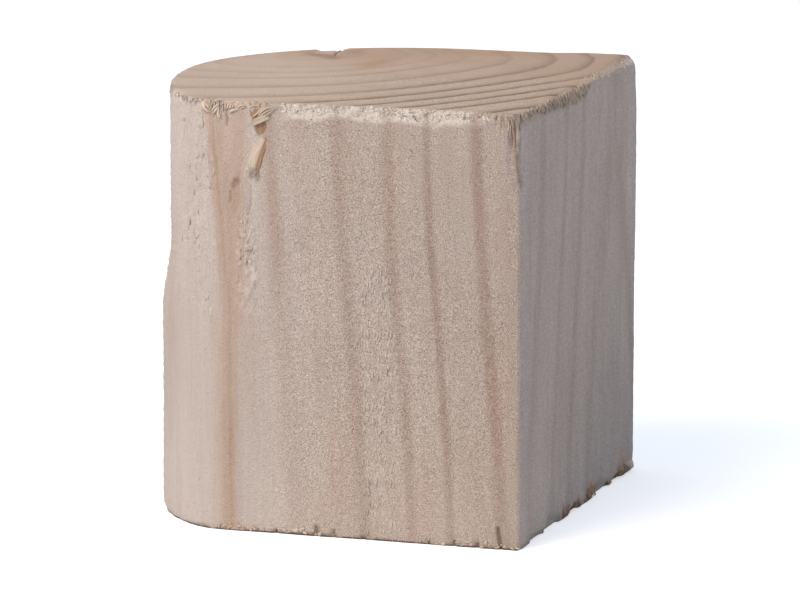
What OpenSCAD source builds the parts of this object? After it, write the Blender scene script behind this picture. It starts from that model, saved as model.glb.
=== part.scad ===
// Offcut of square softwood timber, sawn on the front, right and back faces.
// The left side kept the round of the log (the wane), and both ends are crosscuts.
// Millimetres, +Z up along the grain, origin at the middle of the base.

/* [Timber] */
// Width, from the waney left side to the sawn right face
block_w = 62.3; // [58:0.1:80]
// Depth, from the sawn front face to the sawn back face
block_d = 60; // [56:0.5:80]
// Height of the front edge above the base
front_h = 63.7; // [62:0.1:90]
// Rise of the top crosscut from the front edge to the back edge
crosscut_rise = 0.5; // [0:0.1:2]

/* [Wane] */
// How far the log's round reaches in from the left, on the front face, below the swelling
wane_run = 16.6; // [14:0.1:20]
// How much the round sits back above the swelling
swelling = 1.15; // [0.5:0.05:3]
// Height of the middle of the step between the two
swelling_z = 35.5; // [25:0.5:45]
// Height over which the step fades from one to the other
swelling_fade = 12; // [6:1:20]
// Fullness of the round, where 2 is an ellipse, above the swelling
wane_power = 1.88; // [1.7:0.02:2.4]
// The same below the swelling, where the round is a little flatter
swollen_power = 1.9; // [1.7:0.05:2.4]
// How far the round's middle stands in front of the block's own, above the swelling
wane_forward = 0; // [0:0.5:6]
// The same below the swelling
swollen_forward = 3; // [0:0.5:8]
// Length of the sawn stretch of the back face, from the right side
back_flat = 26; // [12:1:34]

/* [Edges] */
// Radius of the front right edge
front_edge_r = 0.6; // [0.3:0.1:1.5]
// Radius of the back right edge at the top
back_edge_r = 0.4; // [0.3:0.1:4]
// Radius of the back right edge from half height down
worn_edge_r = 0.9; // [0.3:0.1:4]
// How far the back right corner of the top has worn away along the top edges
corner_w = 2.5; // [0.5:0.1:5]
// How far down that wear reaches
corner_h = 2.6; // [0.5:0.1:8]
// How far the base is eased in under the wane
base_ease = 0.8; // [0.2:0.1:1.5]
// How far the top edge has frayed away all round
top_ease = 0.4; // [0.2:0.1:1]

/* [Damage] */
// Length of the heart crack on the top, from near the pith out to the wane
crack_l = 10; // [5:0.5:14]
// Width of the crack where it opens
crack_w = 1.6; // [1:0.1:6]
// Depth of the crack at its mouth
crack_h = 12; // [4:1:30]
// Depth of the torn pockets in the front face
tear_d = 1.5; // [0.8:0.1:2.5]
// Thickness of the splinters that still hang in them
splinter_t = 0.9; // [0.5:0.1:1.4]
// Length of the bruise that runs down the front right edge from the top
bruise_h = 22; // [4:1:40]
// Width of the bruise at the top
bruise_w = 1.6; // [0.8:0.1:3]
// Height of the bites where fibres broke out along the base of the right face
bite_h = 2.4; // [1:0.1:4]
// Depth of those bites into the base
bite_d = 0.9; // [0.3:0.1:1.5]

/* [Hidden] */

half_w = block_w / 2;
half_d = block_d / 2;
wane_x = -half_w + wane_run;            // where the sawn front face begins
back_x = half_w - back_flat;            // where the sawn back face begins
ROUND_STEPS = 26;                       // facets of each quarter of the wane
EDGE_STEPS = 3;                         // facets of each eased edge
FADE_STEPS = 8;                         // sections through the step of the wane
OVER = 2;                               // how far a cut runs past the surface
SLAB = 8;                               // size of the blocks that cut the worn edges
FLOOR_SHARE = 0.6;                      // depth in the middle of a pocket, of the full tear
MOUTH_IN = 3;                           // from the back face forward to the crack's mouth
MOUTH_ALONG = 0.5;                      // from the sawn front's left end to the mouth, in X
PITH_ALONG = 2;                         // how much further right the crack ends, at the pith

// Where the torn pockets lie: [from the left end of the sawn face, below the
// front edge], length, width, lean of the top to the right
top_pocket = [[5.5, 1.3], 5.4, 2.0, 15];
under_pocket = [[6.3, 4.0], 3.4, 1.9, 20];
tongue_pocket = [[6.2, 8.0], 7.6, 1.6, 19];
strip_pocket = [[2.3, 13.2], 6.4, 1.7, 8];
lump_pocket = [[4.7, 22.1], 3.4, 1.4, 28];

// The splinters that still hang in them, given the same way: the bar across
// the top pocket, and the tongue beside its groove
bar = [[6.5, 2.6], 4.4, 0.8, 68];
tongue = [[5.5, 7.5], 6.4, 1.5, 19];

// Outlines of a pocket and of a splinter, as shares of their width and length
POCKET_SHAPE = [[0.1, 0.5], [0.34, 0.36], [0.5, 0.1], [0.42, -0.14], [0.24, -0.3],
                [0, -0.5], [-0.22, -0.36], [-0.36, -0.12], [-0.5, 0.08], [-0.3, 0.34]];
SPLINTER_SHAPE = [[-0.5, 0.5], [0.3, 0.5], [0.5, 0.25], [0.25, -0.5], [-0.1, -0.5],
                  [-0.5, -0.1]];

// Where fibres broke out along the base of the right face: middle, length
bites = [[-22, 11], [-4.5, 8], [13, 15]];

wood_colour = [0.72, 0.64, 0.56];

// One quarter of a rounded outline. Power 2 is an ellipse, less is flatter.
function quarter(centre, reach, power, from, steps) =
    [for (i = [0:steps])
        let (a = from + 90 * i / steps, c = cos(a), s = sin(a))
        [centre.x + reach.x * sign(c) * pow(abs(c), 2 / power),
         centre.y + reach.y * sign(s) * pow(abs(s), 2 / power)]];

function smooth(t) = let (u = min(1, max(0, t))) u * u * (3 - 2 * u);

// 0 in the swollen lower part of the wane, 1 in the upper part
function above(z) = smooth((z - swelling_z) / swelling_fade + 0.5);

function mix(a, b, t) = a + (b - a) * t;

// The plan outline at height z, anticlockwise from the front right edge.
// ease pulls the wane in, for the worn edge round the base.
function outline(z, ease = 0) =
    let (left = -half_w + swelling * above(z) + ease,
         power = mix(swollen_power, wane_power, above(z)),
         forward = mix(swollen_forward, wane_forward, above(z)),
         back_r = mix(worn_edge_r, back_edge_r, above(z)),
         front_reach = [wane_x - left, half_d - forward - ease / 2],
         back_reach = [back_x - left, half_d + forward])
    concat(
        quarter([half_w - front_edge_r, front_edge_r - half_d],
                [front_edge_r, front_edge_r], 2, 270, EDGE_STEPS),
        quarter([half_w - back_r, half_d - back_r], [back_r, back_r], 2, 0, EDGE_STEPS),
        quarter([back_x, -forward], back_reach, 2, 90, ROUND_STEPS),
        quarter([wane_x, -forward], front_reach, power, 180, ROUND_STEPS));

// The top crosscut, a plane that rises toward the back
function crosscut_z(y) = front_h + crosscut_rise * (y + half_d) / block_d;

function section(z, ease = 0) = [for (p = outline(z, ease)) [p.x, p.y, z]];

// The outline just under the crosscut, and the frayed edge of the crosscut itself
function brow_section() =
    [for (p = outline(front_h)) [p.x, p.y, crosscut_z(p.y) - top_ease]];
function top_section() =
    let (k = 1 - top_ease / half_d)
    [for (p = outline(front_h)) [p.x * k, p.y * k, crosscut_z(p.y * k)]];

// Skin over a stack of sections that all have the same number of points
module loft(sections) {
    n = len(sections[0]);
    last = len(sections) - 1;
    points = [for (s = sections) for (p = s) p];
    walls = [for (k = [0:last - 1], i = [0:n - 1])
        let (j = (i + 1) % n)
        [k * n + i, (k + 1) * n + i, (k + 1) * n + j, k * n + j]];
    base = [for (i = [0:n - 1]) i];
    cap = [for (i = [n - 1:-1:0]) last * n + i];
    polyhedron(points = points, faces = concat([base], walls, [cap]), convexity = 4);
}

// The sawn and rounded body, before any damage
module body() {
    fade_from = swelling_z - swelling_fade / 2;
    fade = [for (i = [0:FADE_STEPS]) fade_from + swelling_fade * i / FADE_STEPS];
    loft(concat(
        [section(0, base_ease), section(base_ease)],
        [for (z = fade) section(z)],
        [brow_section(), top_section()]));
}

// Puts a flat shape drawn in X and Y on the front face, with Y up, at a place
// measured from the left end of the sawn stretch and down from its top edge
module on_front(place, lean = 0, slope = 0) {
    translate([wane_x + place.x, -half_d, front_h - place.y])
        rotate([90 + slope, lean, 0])
            children();
}

// A shape given as shares of a width and a length, at its real size
function sized(shape, wide, long) = [for (p = shape) [p.x * wide, p.y * long]];

// A hollow left by torn fibres: pointed at both ends, floor deepest at the top
module torn_pocket(p) {
    depth = FLOOR_SHARE * tear_d;
    on_front(p[0], p[3], -atan(depth / p[1]))
        translate([0, 0, -depth])
            linear_extrude(depth + OVER)
                polygon(sized(POCKET_SHAPE, p[2], p[1]));
}

// A sliver of the front face that stayed when the wood round it tore out
module splinter(p) {
    on_front(p[0], p[3])
        translate([0, 0, -splinter_t])
            linear_extrude(splinter_t + 2 * OVER)
                polygon(sized(SPLINTER_SHAPE, p[2], p[1]));
}

// The heart crack: a wedge that opens outward through the round of the back
module heart_crack() {
    mouth_x = wane_x + MOUTH_ALONG;
    mouth_y = half_d - MOUTH_IN;
    pith_y = mouth_y - crack_l - MOUTH_IN;
    top = front_h + crosscut_rise + OVER;
    foot = front_h - crack_h;
    polyhedron(
        points = [[mouth_x + PITH_ALONG, pith_y, top], [mouth_x - crack_w / 2, mouth_y, top],
                  [mouth_x + crack_w / 2, mouth_y, top], [mouth_x, mouth_y, foot]],
        faces = [[0, 1, 2], [0, 3, 1], [0, 2, 3], [1, 3, 2]]);
}

// Takes a sliver off an upright edge: nothing at the bottom, and most at the
// top, where it goes in by a distance measured along each face
module worn_upright(edge, outward, along, tall, top) {
    inward = along / sqrt(2);
    translate([edge.x, edge.y, top - tall])
        rotate([0, 0, outward])
            rotate([-atan(inward / tall), 0, 0])
                translate([-SLAB / 2, -SLAB, 0])
                    cube([SLAB, SLAB, tall + SLAB]);
}

// The bruise that runs down the front right edge
module edge_bruise() {
    worn_upright([half_w, -half_d], 45, bruise_w, bruise_h, front_h);
}

// The worn corner of the top at the back right
module worn_corner() {
    worn_upright([half_w, half_d], 135, corner_w, corner_h, front_h + crosscut_rise);
}

// One bite out of the base of the right face: a round scoop that leans inward
module base_bite(b) {
    scoop_r = b[1] * b[1] / (8 * bite_d);
    lean = atan(bite_d / bite_h);
    translate([half_w, b[0], bite_h])
        rotate([0, lean, 0])
            translate([scoop_r, 0, -2 * bite_h])
                cylinder(r = scoop_r, h = 4 * bite_h, $fn = 96);
}

// Everything torn out of the front face, around the splinters that stayed
module tears() {
    difference() {
        for (p = [top_pocket, under_pocket, tongue_pocket, strip_pocket, lump_pocket])
            torn_pocket(p);
        splinter(bar);
        splinter(tongue);
    }
}

module wood_block() {
    color(wood_colour)
        difference() {
            body();
            heart_crack();
            edge_bruise();
            worn_corner();
            tears();
            for (b = bites) base_bite(b);
        }
}

wood_block();
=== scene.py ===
# %% [markdown]
# # A small wooden block, dressed in Blender
# The part is one offcut of softwood. It was sawn on the front, the right and the back, the left
# side kept the round of the log, and both ends were cut across the grain. The CAD solid gives the
# true size and the main shapes. Here it gets its growth rings, its torn edges and its loose
# fibres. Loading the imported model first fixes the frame, so everything below is measured from it.

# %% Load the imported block
import math

import bpy
import numpy as np
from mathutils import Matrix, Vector
from mathutils.geometry import delaunay_2d_cdt


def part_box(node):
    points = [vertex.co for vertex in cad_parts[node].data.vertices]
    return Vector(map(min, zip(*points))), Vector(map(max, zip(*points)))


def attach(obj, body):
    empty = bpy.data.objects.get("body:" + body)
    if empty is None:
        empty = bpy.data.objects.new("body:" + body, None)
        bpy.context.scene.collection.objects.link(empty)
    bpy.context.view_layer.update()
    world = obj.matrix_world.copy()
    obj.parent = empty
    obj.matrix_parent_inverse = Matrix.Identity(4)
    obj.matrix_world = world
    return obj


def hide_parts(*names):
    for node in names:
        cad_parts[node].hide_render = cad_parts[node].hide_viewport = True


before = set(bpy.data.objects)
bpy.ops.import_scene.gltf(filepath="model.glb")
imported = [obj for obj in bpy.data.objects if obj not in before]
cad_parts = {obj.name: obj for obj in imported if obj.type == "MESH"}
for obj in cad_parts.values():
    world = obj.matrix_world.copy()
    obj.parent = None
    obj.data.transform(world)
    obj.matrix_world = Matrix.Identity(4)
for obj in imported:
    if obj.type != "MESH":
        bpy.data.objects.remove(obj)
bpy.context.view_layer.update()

# %% [markdown]
# ## Camera
# A long lens from nearly a metre away keeps the upright edges almost parallel, as in a product
# picture. The camera comes first, so that every later step can be looked at as soon as it is made.
# It is aimed at a point near the middle of the block and tracks it with its own minus Z axis.

# %% Place the camera
MM = 0.001
camera_data = bpy.data.cameras.new("camera")
camera_data.lens = 249.6
camera_data.sensor_width = 36
camera_data.clip_end = 20
camera = bpy.data.objects.new("camera", camera_data)
bpy.context.scene.collection.objects.link(camera)
bpy.context.scene.camera = camera

azimuth = math.radians(18.203)      # round to the right of the front
elevation = math.radians(10.369)    # above the floor
distance = 0.832
aim = Vector((3.115, 0, 30.07)) * MM
from_aim = Vector((math.sin(azimuth) * math.cos(elevation),
                   -math.cos(azimuth) * math.cos(elevation),
                   math.sin(elevation)))
camera.location = aim + from_aim * distance
camera.rotation_euler = from_aim.to_track_quat("Z", "Y").to_euler()
print("camera at", tuple(round(c, 3) for c in camera.location))

# %% [markdown]
# ## Soft noise
# Wood is uneven at every scale: slow waves in a sawn face, fuzz from the saw, crumbs on an edge.
# Blender has noise textures for colour, but the mesh itself needs noise as plain numbers. Value
# noise does that: random numbers sit on a grid, and every point between them is blended smoothly.
# The random numbers come from the grid place itself, so the result is the same on each run.

# %% Noise for moving points
def smooth(t):
    """Eases from 0 to 1 as t goes from 0 to 1."""
    t = np.clip(t, 0, 1)
    return t * t * (3 - 2 * t)


def soft_noise(points, size, seed):
    """Noise from -1 to 1 that changes over size mm along x, y and z."""
    scaled = np.asarray(points, float) / np.asarray(size, float)
    cell = np.floor(scaled).astype(np.int64)
    blend = scaled - cell
    blend = blend * blend * (3 - 2 * blend)
    total = np.zeros(scaled.shape[:-1])
    for corner in np.ndindex(2, 2, 2):
        place = cell + np.array(corner)
        key = (place[..., 0] * 73856093) ^ (place[..., 1] * 19349663)
        key = key ^ (place[..., 2] * 83492791) ^ (seed * 26544357)
        key = (key ^ (key >> 13)) * 1274126177
        value = ((key ^ (key >> 16)) & 0xFFFF) / 32767.5 - 1
        near = np.where(np.array(corner), blend, 1 - blend)
        total += value * near[..., 0] * near[..., 1] * near[..., 2]
    return total


def plan_noise(points, size, seed):
    """The same for places seen from above."""
    return soft_noise(np.column_stack([points, np.zeros(len(points))]), (*size, 1), seed)


print("noise at the origin:", round(float(soft_noise([0, 0, 0], [1, 1, 1], 1)), 3))

# %% [markdown]
# ## The outline of the block
# Seen from above, the block is a square with one side taken by the round of the log. The same
# few numbers as in the CAD source draw it: straight sawn sides, small corner arcs, and two
# quarters of a flattened ellipse for the wane. The log swells a little below half height, so the
# outline is a function of height. Points are packed closest where the surface is torn most.

# %% Measures of the block, in mm
low, high = [np.array(corner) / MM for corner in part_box("wood_block")]
half_w = float(high[0])
half_d = float(high[1])
front_h = 63.7          # height of the top along the front edge
crosscut_rise = 0.5     # how much higher it is along the back edge
wane_x = -14.55         # where the sawn front ends and the round begins
back_x = 5.15           # where the sawn back ends and the round begins
swollen_forward = 3.0   # how far the middle of the round stands forward, low down
swelling = 1.15         # how far the round sits back above the swelling
swelling_z = 35.5
swelling_fade = 12.0
front_edge_r = 0.6
print("block", round(half_w * 2, 2), "x", round(half_d * 2, 2), "x", round(float(high[2]), 2), "mm")


# %% Outline at any height
def above(z):
    """0 in the swollen lower part of the wane, 1 in the upper part."""
    return smooth((z - swelling_z) / swelling_fade + 0.5)


def crosscut_z(y):
    """Height of the top crosscut."""
    return front_h + crosscut_rise * (y + half_d) / (2 * half_d)


def quarter(centre, reach, power, angles):
    """Points on a rounded outline. Power 2 is an ellipse, less is flatter."""
    c, s = np.cos(angles), np.sin(angles)
    x = centre[0] + reach[0] * np.sign(c) * np.abs(c) ** (2 / power)
    y = centre[1] + reach[1] * np.sign(s) * np.abs(s) ** (2 / power)
    return np.stack([x, y], -1)


torn_x = np.arange(wane_x, -5, 0.22)
middle_x = np.arange(torn_x[-1] + 0.3, 26, 0.4)
front_x = np.concatenate([torn_x, middle_x, np.arange(26, half_w - front_edge_r - 0.1, 0.16)])
right_t = np.linspace(0, 1, 115, endpoint=False)
back_t = np.linspace(0, 1, 26, endpoint=False)
edge_angles = np.radians(np.linspace(270, 360, 7)[:-1])
worn_angles = np.radians(np.linspace(0, 90, 6)[:-1])
back_angles = np.radians(np.concatenate([
    np.arange(90, 114, 1.5), np.arange(114, 131, 0.4), np.arange(131, 179.4, 1.3)]))
wane_angles = np.radians(np.arange(180, 269.3, 1.1))


def outline(z):
    """The plan outline at height z, anticlockwise from the left end of the sawn front."""
    up = float(above(z))
    left = -half_w + swelling * up + max(0.0, 0.8 - z)
    back_r = 0.9 - 0.5 * up
    power = 1.9 - 0.02 * up
    forward = swollen_forward * (1 - up)
    front = np.stack([front_x, np.full_like(front_x, -half_d)], -1)
    edge = quarter((half_w - front_edge_r, front_edge_r - half_d),
                   (front_edge_r, front_edge_r), 2, edge_angles)
    run = 2 * half_d - front_edge_r - back_r
    right = np.stack([np.full_like(right_t, half_w), front_edge_r - half_d + run * right_t], -1)
    worn = quarter((half_w - back_r, half_d - back_r), (back_r, back_r), 2, worn_angles)
    run = half_w - back_r - back_x
    back = np.stack([half_w - back_r - run * back_t, np.full_like(back_t, half_d)], -1)
    behind = quarter((back_x, -forward), (back_x - left, half_d + forward), 2, back_angles)
    wane = quarter((wane_x, -forward), (wane_x - left, half_d - forward), power, wane_angles)
    return np.concatenate([front, edge, right, worn, back, behind, wane])


print("points round the outline:", len(outline(30.0)))

# %% [markdown]
# ## A skin of rows
# The walls are a stack of outlines joined by quads. The rows lie close together near the top,
# where the saw left its mark, and further apart lower down. Above a fixed height the rows are
# squeezed or stretched at each point of the outline, so that they end exactly at the torn edge,
# wherever that is. That keeps the mesh one closed skin, however ragged the edge gets.

# %% Rows of the walls
row_z = np.concatenate([
    np.arange(0.45, 3.4, 0.3), np.arange(3.5, 34, 0.52), np.arange(34, 63.1, 0.3)])
STRETCH_FROM = 45.0     # rows above this height are fitted to the torn top edge
rings = np.array([outline(z) for z in row_z])
wall = np.concatenate([rings, np.repeat(row_z[:, None, None], rings.shape[1], 1)], -1)

along = np.roll(rings, -1, 1) - np.roll(rings, 1, 1)
along /= np.linalg.norm(along, axis=-1, keepdims=True)
outward = np.stack([along[..., 1], -along[..., 0], np.zeros(along.shape[:-1])], -1)
x, y, z = wall[..., 0], wall[..., 1], wall[..., 2]
on_front = smooth((-29.0 - y) / 0.5) * (x < half_w - 0.5)
on_right = smooth((x - half_w + 0.8) / 0.4) * (y > -29.5) * (y < 28)
on_wane = smooth((wane_x - x) / 3)
print("wall grid:", wall.shape[:2])

# %% [markdown]
# ## Relief of the faces
# No face of a rough sawn block is flat. The sawn faces have slow hollows and short torn pits
# along the grain, and the round side is smoother, with long shallow flutes. Each kind of mark is
# one layer of numbers, positive outward, and the layers are simply added. Doing this in the mesh
# and not only in a bump map makes the outline and the shadows uneven as well.

# %% Layers of relief on the walls
relief = 0.07 * soft_noise(wall, (9, 9, 26), 11) + 0.025 * soft_noise(wall, (1.1, 1.1, 5), 12)
relief += on_wane * 0.10 * soft_noise(wall, (2.6, 2.6, 22), 13)
relief += on_wane * 0.05 * soft_noise(wall, (0.8, 0.8, 0.9), 14)
on_left = smooth((-22 - x) / 4)
relief += on_left * 0.16 * np.abs(soft_noise(wall, (2.5, 2.5, 0.62), 18))
scuffed = on_wane * smooth((x + 25) / 3) * smooth((z - 40) / 6)
relief += scuffed * 0.13 * soft_noise(wall, (0.45, 0.45, 1.1), 19)
relief += 0.035 * soft_noise(wall, (0.5, 0.5, 0.6), 15)

pits = soft_noise(wall, (0.7, 0.7, 1.5), 16)
rough_band = np.exp(-((x - 9.8) / 2.1) ** 2) * smooth((41 - z) / 4)
rough_band *= 0.35 + 0.65 * smooth(soft_noise(wall, (30, 30, 4.5), 17) + 0.5)
relief -= on_front * rough_band * 0.07 * smooth((pits - 0.05) / 0.4)
print("deepest torn grain:", round(float(relief.min()), 2), "mm")


# %% Torn pockets in the front face
def pocket(place, long, wide, lean):
    """1 in the middle of a slender hollow in the front face, 0 outside it."""
    turn = math.radians(lean)
    across = (x - place[0]) * math.cos(turn) - (z - place[1]) * math.sin(turn)
    up = (x - place[0]) * math.sin(turn) + (z - place[1]) * math.cos(turn)
    across = across + 0.12 * soft_noise(wall, (0.5, 0.5, 0.7), 21)
    room = np.clip(1 - (2 * up / long) ** 2, 0, 1)
    inside = 1 - (2 * np.abs(across) / (wide * np.sqrt(room) + 1e-6)) ** 2
    return smooth(2.2 * inside) * (room > 0) * (y < -28)


cavity_above = pocket((-9.1, 61.9), 2.8, 1.25, 6)
cavity_below = pocket((-8.2, 60.15), 2.1, 1.9, 22)
groove = pocket((-8.1, 56.2), 5.4, 1.0, 15)
groove_foot = np.maximum(pocket((-9.6, 53.1), 1.3, 0.9, 10), pocket((-8.75, 52.9), 1.6, 1.0, -5))
left_spot = pocket((-12.2, 51.8), 1.7, 1.1, 25)
middle_spot = pocket((-12.9, 49.8), 1.9, 0.7, 10)
strip = pocket((-11.9, 50.2), 6.5, 1.2, 8)
notch = pocket((-9.9, 41.5), 0.8, 1.6, 20)
slit = pocket((-13.45, 61.35), 2.3, 0.42, 3)
between_curls = pocket((-16.3, 62.5), 1.9, 1.8, 0)
below_rim = smooth((63.0 - z) / 0.5)
for hollow, depth in ((cavity_above, 0.08), (cavity_below, 0.25), (groove, 0.1), (groove_foot, 0.25),
                      (left_spot, 0.22), (middle_spot, 0.15), (strip, 0.1), (notch, 0.2),
                      (slit, 0.12), (between_curls, 0.12)):
    relief -= depth * hollow * below_rim

lumpy = smooth(1.3 - ((x + 10.4) / 1.9) ** 2) * smooth((z - 31) / 5) * smooth((47 - z) / 2)
lumpy *= y < -28
lump_noise = soft_noise(wall, (0.5, 0.5, 0.8), 22)
relief += lumpy * 0.26 * smooth((lump_noise - 0.05) / 0.45)
print("deepest pocket:", round(float(relief.min()), 2), "mm")

# %% [markdown]
# ## The bruised corner
# The front right edge was crushed near the top, so it lost a sliver that runs down the corner.
# Pushing points along their own normals would fold a corner this tight over itself. Here all the
# points near it move the same way, diagonally into the block, and only how far is different.

# %% Bruise down the front right edge
from_corner = np.abs((x - 30.75) + (-29.75 - y))
edge_near = smooth(1.35 - from_corner / 1.3) * (x > 28) * (y < -28)
crushed = smooth((z - 46) / 14) * (1 + 0.5 * soft_noise(wall, (1, 1, 1.4), 31))
corner_loss = edge_near * (0.55 * crushed + 0.12 + 0.12 * soft_noise(wall, (2, 2, 1.1), 32))
wall[..., 0] -= 0.6 * corner_loss
wall[..., 1] += 0.6 * corner_loss
print("corner worn by up to", round(float(corner_loss.max()), 2), "mm")

furrow = np.zeros_like(z)
furrow_noise = soft_noise(wall, (0.8, 0.8, 1.6), 34)
for at_top, at_foot, foot, wide, strong in (
        (28.4, 28.7, 59.6, 0.16, 0.55), (29.35, 29.9, 58, 0.17, 0.9), (30.1, 30.75, 52.5, 0.22, 1.0),
        (27.3, 27.5, 60.6, 0.14, 0.4), (26.2, 26.3, 60.4, 0.14, 0.35), (30.75, 31.0, 60.0, 0.15, 0.6)):
    line_x = at_foot + (at_top - at_foot) * smooth((z - foot) / (63.5 - foot)) + 0.18 * furrow_noise
    line = strong * np.exp(-((x - line_x) / wide) ** 2) * smooth((z - foot) / 1.5) * (y < -28.6)
    furrow = np.maximum(furrow, line)
relief -= 0.3 * furrow
shreds = soft_noise(wall, (0.45, 0.45, 1.6), 35)
shredded = smooth((x - 25.5) / 3) * smooth((z - 58.5) / 3) * (y < -28.6)
relief -= 0.15 * shredded * smooth(shreds / 0.4)
relief *= 1 - 0.85 * smooth((x - 29.9) / 0.5) * (y < -29.2)

# %% Bites and stains along the base, where fibres broke out
bite = np.zeros_like(z)
ragged = 1 + 0.35 * soft_noise(wall, (1, 1.3, 50), 33)
for middle, length, tall in ((-21, 9, 1.5), (-13.5, 9, 2.8), (-2.0, 6, 1.8), (12.5, 11, 2.6),
                             (21, 8, 1.5)):
    arch = np.clip(1 - (2 * (y - middle) / length) ** 2, 0, 1)
    bite = np.maximum(bite, smooth(1.3 * (1 - z / (tall * arch * ragged + 1e-6))))
relief -= on_right * 0.85 * bite
relief = np.where(on_right > 0, relief * (0.75 + 0.25 * (1 - on_right)), relief)
stain = np.zeros_like(z)
ragged_stain = soft_noise(wall, (1, 0.9, 1.1), 36)
for middle, width, tall in ((-6.8, 2.4, 3.6), (-0.5, 3.2, 2.4), (6.8, 4.4, 4.8), (23.6, 3.6, 5.2)):
    spread = 1 - ((y - middle) / width) ** 2 - (z / tall) ** 1.4 + 0.3 * ragged_stain
    stain = np.maximum(stain, smooth(0.9 * spread))
stain *= on_right
relief += 0.16 * stain * np.abs(soft_noise(wall, (1, 0.6, 1.3), 37))
# Narrow slits at the foot of the front; the dark tone later fills them with painted shade.
base_slits = np.zeros_like(z)
for place, tall, lean in ((0.2, 1.9, 0.05), (2.7, 1.5, -0.05), (17.3, 1.0, 0.1), (21.2, 1.2, 0.0),
                          (28.3, 3.6, 0.14), (-6.2, 0.9, 0.0), (7.4, 0.9, 0.1), (24.6, 1.1, -0.1)):
    beside = np.abs(x - place + lean * z) / 0.25
    base_slits = np.maximum(base_slits, smooth(1.6 - beside) * smooth((tall - z) / 0.5))
base_slits *= y < -29
relief -= 0.3 * base_slits
back_swell = smooth((x - 30.3) / 0.4) * smooth((y - 18) / 9)
relief += 0.2 * back_swell * smooth(z / 3) * smooth((62 - z) / 6)
print("bites reach", round(float(z[bite * on_right > 0.1].max()), 1), "mm up")

# %% [markdown]
# ## The torn top edge
# A saw leaves the far side of a cut ragged, because nothing backs the last fibres. Along the
# front and the right the edge has broken away by up to about two millimetres, in crumbs and
# gaps, while round the wane and the back it is only worn. Two numbers at each point of the
# outline say how far down and how far in the edge has gone, and the last rows roll over it.

# %% How the top rounds down toward the right
def edge_drop(px, py):
    """How far the worn top lies under the crosscut, most at the back right corner."""
    places = [-30, -21, -11, -5, 0, 5, 10, 16, 21, 28, 30]
    depth = np.interp(py, places, [0.05, 0.1, 0.3, 0.3, 0.35, 0.4, 0.65, 1.1, 1.4, 1.8, 1.75])
    reach = np.interp(py, places, [1.0, 1.5, 2.0, 2.0, 2.0, 2.0, 2.0, 2.2, 2.4, 2.2, 1.6])
    worn = depth * np.clip(1 - (half_w - px) / reach, 0, 1) ** 2.2
    raised = 0.22 * smooth((px - 17) / 7) * smooth((py - 14) / 10)
    sunk = 0.28 * smooth((2.0 - np.abs(px + 16)) / 0.9) * smooth((py - 17) / 4)
    return worn - raised + sunk


print("sunk at the back right corner:", round(float(edge_drop(half_w, half_d)), 2), "mm")

# %% How far the edge has gone, at each point of the outline
rim = rings[-1]
rim_x, rim_y = rim[:, 0], rim[:, 1]
crumble = 0.5 + 0.5 * plan_noise(rim, (0.8, 0.8), 41)
chip = smooth(plan_noise(rim, (2.6, 2.6), 42) * 1.4)
front_rim = smooth((-25.0 - rim_y) / 3) * (rim_x < half_w - 0.4)
right_rim = smooth((rim_x - half_w + 0.7) / 0.3) * (rim_y > -29.5)
wear_down = 0.06 + 0.06 * crumble
wear_in = 0.08 + 0.06 * crumble
wear_down += front_rim * (0.30 + 0.30 * crumble + 0.30 * chip)
wear_in += front_rim * (0.20 + 0.16 * crumble + 0.12 * chip)
wane_rim = smooth((-17 - rim_y) / 5) * (rim_x < wane_x + 3) * (1 - 0.7 * front_rim)
wear_down += wane_rim * (0.25 + 0.35 * crumble + 0.3 * chip)
wear_in += wane_rim * (0.15 + 0.25 * crumble)
tear_places = [-29, -27, -22, -16, -11, -8, -6, -3, 2, 5, 8, 28]
tear_down = np.interp(rim_y, tear_places,
                      [0.9, 1.1, 1.1, 1.5, 1.9, 1.8, 2.3, 1.6, 1.6, 0.6, 0.2, 0.15])
tear_in = np.interp(rim_y, tear_places,
                    [0.3, 0.35, 0.3, 0.35, 0.45, 0.5, 0.6, 0.5, 0.45, 0.3, 0.2, 0.2])
wear_down += right_rim * tear_down * (0.75 + 0.5 * crumble)
wear_in += right_rim * tear_in * (0.85 + 0.3 * crumble)
corner = smooth(1.8 - np.hypot(rim_x - 31, rim_y + 30) / 1.2)
wear_down += 0.4 * corner
wear_in = wear_in * (1 - corner) + 0.10 * corner
back_corner = np.clip(1 - np.hypot(rim_x - half_w, rim_y - half_d) / 3.2, 0, 1)
wear_in = np.maximum(wear_in * (1 - back_corner), 0.12)
print("edge gone by up to", round(float(wear_down.max()), 2), "mm")

# %% The heart crack, open through the round of the back
crack_mouth_x = wane_x + 0.1
crack_half_width = 0.75
crack_depth = 8.0


def in_mouth(across, deep):
    """1 in the middle of the crack's mouth, 0 at its sides and everywhere else."""
    return np.clip(1 - np.abs(across - crack_mouth_x) / crack_half_width, 0, 1) * (deep > 15)


crack_gap = in_mouth(rim_x, rim_y)
wear_down += crack_depth * crack_gap ** 0.8
relief -= 0.4 * in_mouth(x, y) ** 1.5 * smooth((z - 50) / 8)
print("crack opens over", int((crack_gap > 0).sum()), "points of the rim")

# %% Fit the rows to the torn edge and push the walls by their relief
rim_height = crosscut_z(rim_y) - edge_drop(rim_x, rim_y) - wear_down
share = np.clip((z - STRETCH_FROM) / (row_z[-1] - STRETCH_FROM), 0, 1)
wall[..., 2] = np.where(z > STRETCH_FROM, STRETCH_FROM + share * (rim_height - STRETCH_FROM), z)
wall = wall + outward * relief[..., None]
lowest_row, highest_row = wall[0], wall[-1]
print("last row at most", round(float(highest_row[:, 2].max()), 1), "mm high")

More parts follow.
